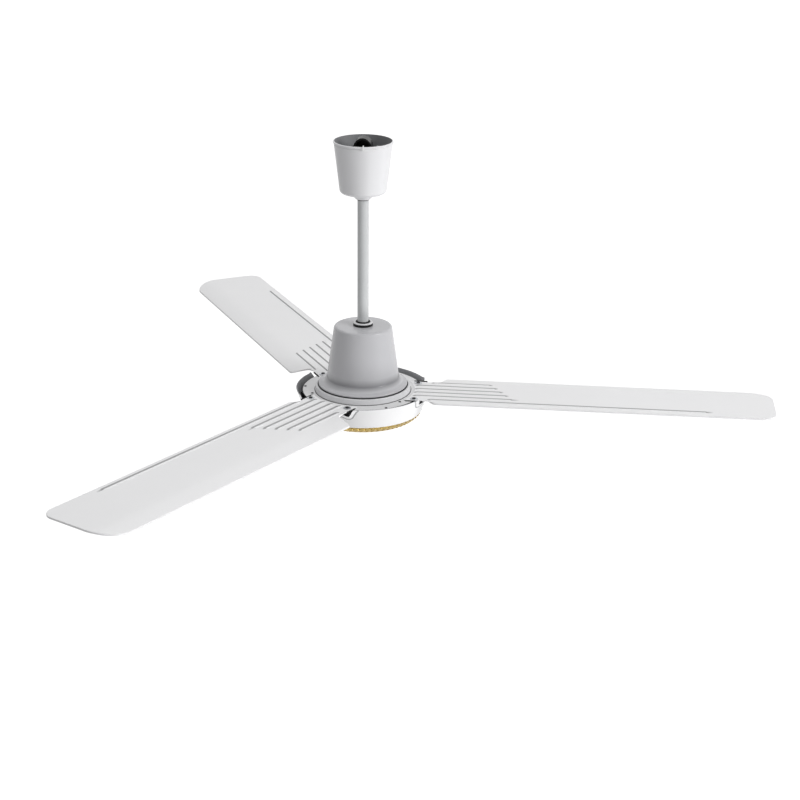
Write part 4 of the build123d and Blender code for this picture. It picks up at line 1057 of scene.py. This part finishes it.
class FAN_OT_fasteners(bpy.types.Operator):
    """Sets the washers and the cross-headed screws"""
    bl_idname = "fan.fasteners"
    bl_label = "Fasteners"

    def head(self, radius, height, stem):
        """A domed cross-recessed head on a short stem, its seat at height 0."""
        points, around = [], 48
        rings = [radius * share for share in
                 (0.04, 0.12, 0.2, 0.28, 0.36, 0.44, 0.52, 0.6, 0.7, 0.8, 0.88, 0.95)]
        turns = [(math.cos(math.tau * k / around), math.sin(math.tau * k / around)) for k in range(around)]
        for reach in rings:
            for x, y in ((reach * c, reach * s) for c, s in turns):
                level = height * (1 - 0.45 * (reach / radius) ** 3)
                arm, width = 0.58 * radius, 0.13 * radius
                if (abs(x) < width and abs(y) < arm) or (abs(y) < width and abs(x) < arm):
                    level -= 0.5 * height
                points.append((x, y, level))
        for reach, level in ((radius, 0.35 * height), (radius, 0), (stem, 0), (stem, -2.5)):
            points += [(reach * c, reach * s, level) for c, s in turns]
        caps = [list(range(around)), list(range(len(points) - around, len(points)))[::-1]]
        return mesh_of("head", points, walls(len(rings) + 4, around) + caps)

    def execute(self, context):
        blade_spots = [(92, -41), (92, 37)]
        seat = disc_top + BLADE_SHEET
        washer = turned("washer", [(2.1, 0, 0), (6.5, 0, 0.3), (6.5, 0.8, 0.35), (2.1, 0.8, 0.2)],
                        "bright_zinc", 0.2)
        washers = on_spots("washers", washer, "bright_zinc", blade_spots, seat, 1)
        screws = on_spots("screws", self.head(3.3, 1.7, 2.0), "dark_plated_steel", blade_spots, seat + 0.8, 2)
        piece("washers", washers, "blade_washers")
        piece("screws", screws, "blade_screws")
        for name, radius, angle, seed in (("cover", 89, -38.5, 3), ("pan", 100, 60, 4)):
            heads = on_spots(name + "_heads", self.head(2.3, 1.1, 1.8), "dark_plated_steel",
                             [polar(radius, angle)], disc_top, seed)
            piece(name + "_heads", heads, name + "_screws")
        return {"FINISHED"}


class FAN_OT_stage(bpy.types.Operator):
    """Sets the floor, the lamps, the white surround and the camera"""
    bl_idname = "fan.stage"
    bl_label = "Stage"

    def seen(self, tree):
        """1 for the rays that see or mirror the surround, 0 for those that light the object."""
        rays = add(tree, "ShaderNodeLightPath").outputs
        seen = calculated(tree, "MAXIMUM", rays["Is Camera Ray"], rays["Is Glossy Ray"])
        return calculated(tree, "MAXIMUM", seen, rays["Is Transmission Ray"])

    def floor(self):
        """A wide pale floor far below, that keeps the shadow and looks white."""
        half, level, glow = 60.0, -4.7, 0.86
        mesh = bpy.data.meshes.new("floor")
        mesh.from_pydata([(x * half, y * half, level) for x, y in ((-1, -1), (1, -1), (1, 1), (-1, 1))],
                         [], [(0, 1, 2, 3)])
        placed("floor", mesh)
        surface, tree, shader = new_material("white_floor", Roughness=0.9)
        shader.inputs["Base Color"].default_value = linear("#BCBCBC")
        strength = calculated(tree, "MULTIPLY", self.seen(tree), glow)
        light = add(tree, "ShaderNodeEmission", {"Color": (1, 1, 1, 1), "Strength": strength})
        both = add(tree, "ShaderNodeAddShader", {0: shader.outputs[0], 1: light.outputs[0]})
        tree.links.new(both.outputs[0], tree.nodes["Material Output"].inputs["Surface"])
        mesh.materials.append(surface)

    def surround(self, fill=0.44):
        """A world that looks white and lights the object with less."""
        world = bpy.data.worlds.new("surround")
        world.use_nodes = True
        tree = world.node_tree
        tree.nodes.clear()
        level = add(tree, "ShaderNodeMapRange", {0: self.seen(tree), 3: fill, 4: 1.0})
        sky = add(tree, "ShaderNodeBackground", {"Color": (1, 1, 1, 1), "Strength": level.outputs[0]})
        add(tree, "ShaderNodeOutputWorld", {"Surface": sky.outputs[0]})
        bpy.context.scene.world = world

    def lamps(self):
        """Soft lamps that look at the middle of the fan."""
        target = Vector((0, 0, -0.3))
        # name, azimuth from +X, elevation, distance, width, height, power
        for name, azimuth, elevation, distance, width, height, power in (
                ("key", -20, 24, 4.5, 1.8, 1.8, 98),
                ("low", -46, -36, 3.6, 1.8, 1.2, 50),
                ("side", 16, -24, 3.6, 1.0, 1.0, 9),
                ("overhead", 140, 78, 3.6, 3.0, 3.0, 34),
                ("strip", -19, -3, 3.2, 0.06, 0.9, 1.2)):
            lamp = bpy.data.lights.new(name, "AREA")
            lamp.shape = "RECTANGLE"
            lamp.size, lamp.size_y = width, height
            lamp.energy = power
            holder = placed(name, lamp)
            level, rise = polar(1, elevation)
            back = Vector((*(c * level for c in polar(1, azimuth)), rise))
            holder.location = target + back * distance
            holder.rotation_euler = (-back).to_track_quat("-Z", "Y").to_euler()
            holder.visible_camera = False

    def camera(self):
        """The camera at the photograph's viewing angle."""
        lens = bpy.data.cameras.new("camera")
        lens.sensor_width = 36.0
        lens.lens = 82.845
        camera = placed("camera", lens)
        heading, dip, roll = 95.949, 20.846, math.radians(0.512)
        level, drop = polar(1, dip)
        ahead = Vector((*(c * level for c in polar(1, heading)), -drop))
        level = ahead.cross(Vector((0, 0, 1))).normalized()
        upright = level.cross(ahead)
        right = level * math.cos(roll) + upright * math.sin(roll)
        above = upright * math.cos(roll) - level * math.sin(roll)
        camera.location = (0.370474, -2.939055, 0.697478)
        camera.rotation_euler = Matrix((right, above, -ahead)).transposed().to_euler()
        bpy.context.scene.camera = camera

    def execute(self, context):
        self.floor()
        self.surround()
        self.lamps()
        self.camera()
        context.scene.view_settings.view_transform = "Standard"
        return {"FINISHED"}


class FAN_PT_panel(bpy.types.Panel):
    """Lists the fan's groups of pieces, its sizes and its colours"""
    bl_idname = "FAN_PT_panel"
    bl_label = "Ceiling fan"
    bl_space_type = "VIEW_3D"
    bl_region_type = "UI"
    bl_category = "Fan"

    def draw(self, context):
        for group in (context.scene.fan_sizes, context.scene.fan_colours):
            box = self.layout.box()
            for name in group.__annotations__:
                box.prop(group, name)
        for operator in OPERATORS:
            self.layout.operator(operator.bl_idname)


OPERATORS = (FAN_OT_finishes, FAN_OT_canopy, FAN_OT_hanger, FAN_OT_bell, FAN_OT_hub, FAN_OT_pan, FAN_OT_trim,
             FAN_OT_blades, FAN_OT_fasteners, FAN_OT_stage)
CLASSES = (FanSizes, FanColours, *OPERATORS, FAN_PT_panel)


def register():
    for each in CLASSES:
        bpy.utils.register_class(each)
    bpy.types.Scene.fan_sizes = PointerProperty(type=FanSizes)
    bpy.types.Scene.fan_colours = PointerProperty(type=FanColours)


def unregister():
    del bpy.types.Scene.fan_colours
    del bpy.types.Scene.fan_sizes
    for each in reversed(CLASSES):
        bpy.utils.unregister_class(each)


def main():
    """Makes every piece in order."""
    register()
    for operator in OPERATORS:
        group, name = operator.bl_idname.split(".")
        getattr(getattr(bpy.ops, group), name)()


if __name__ == "__main__":
    main()
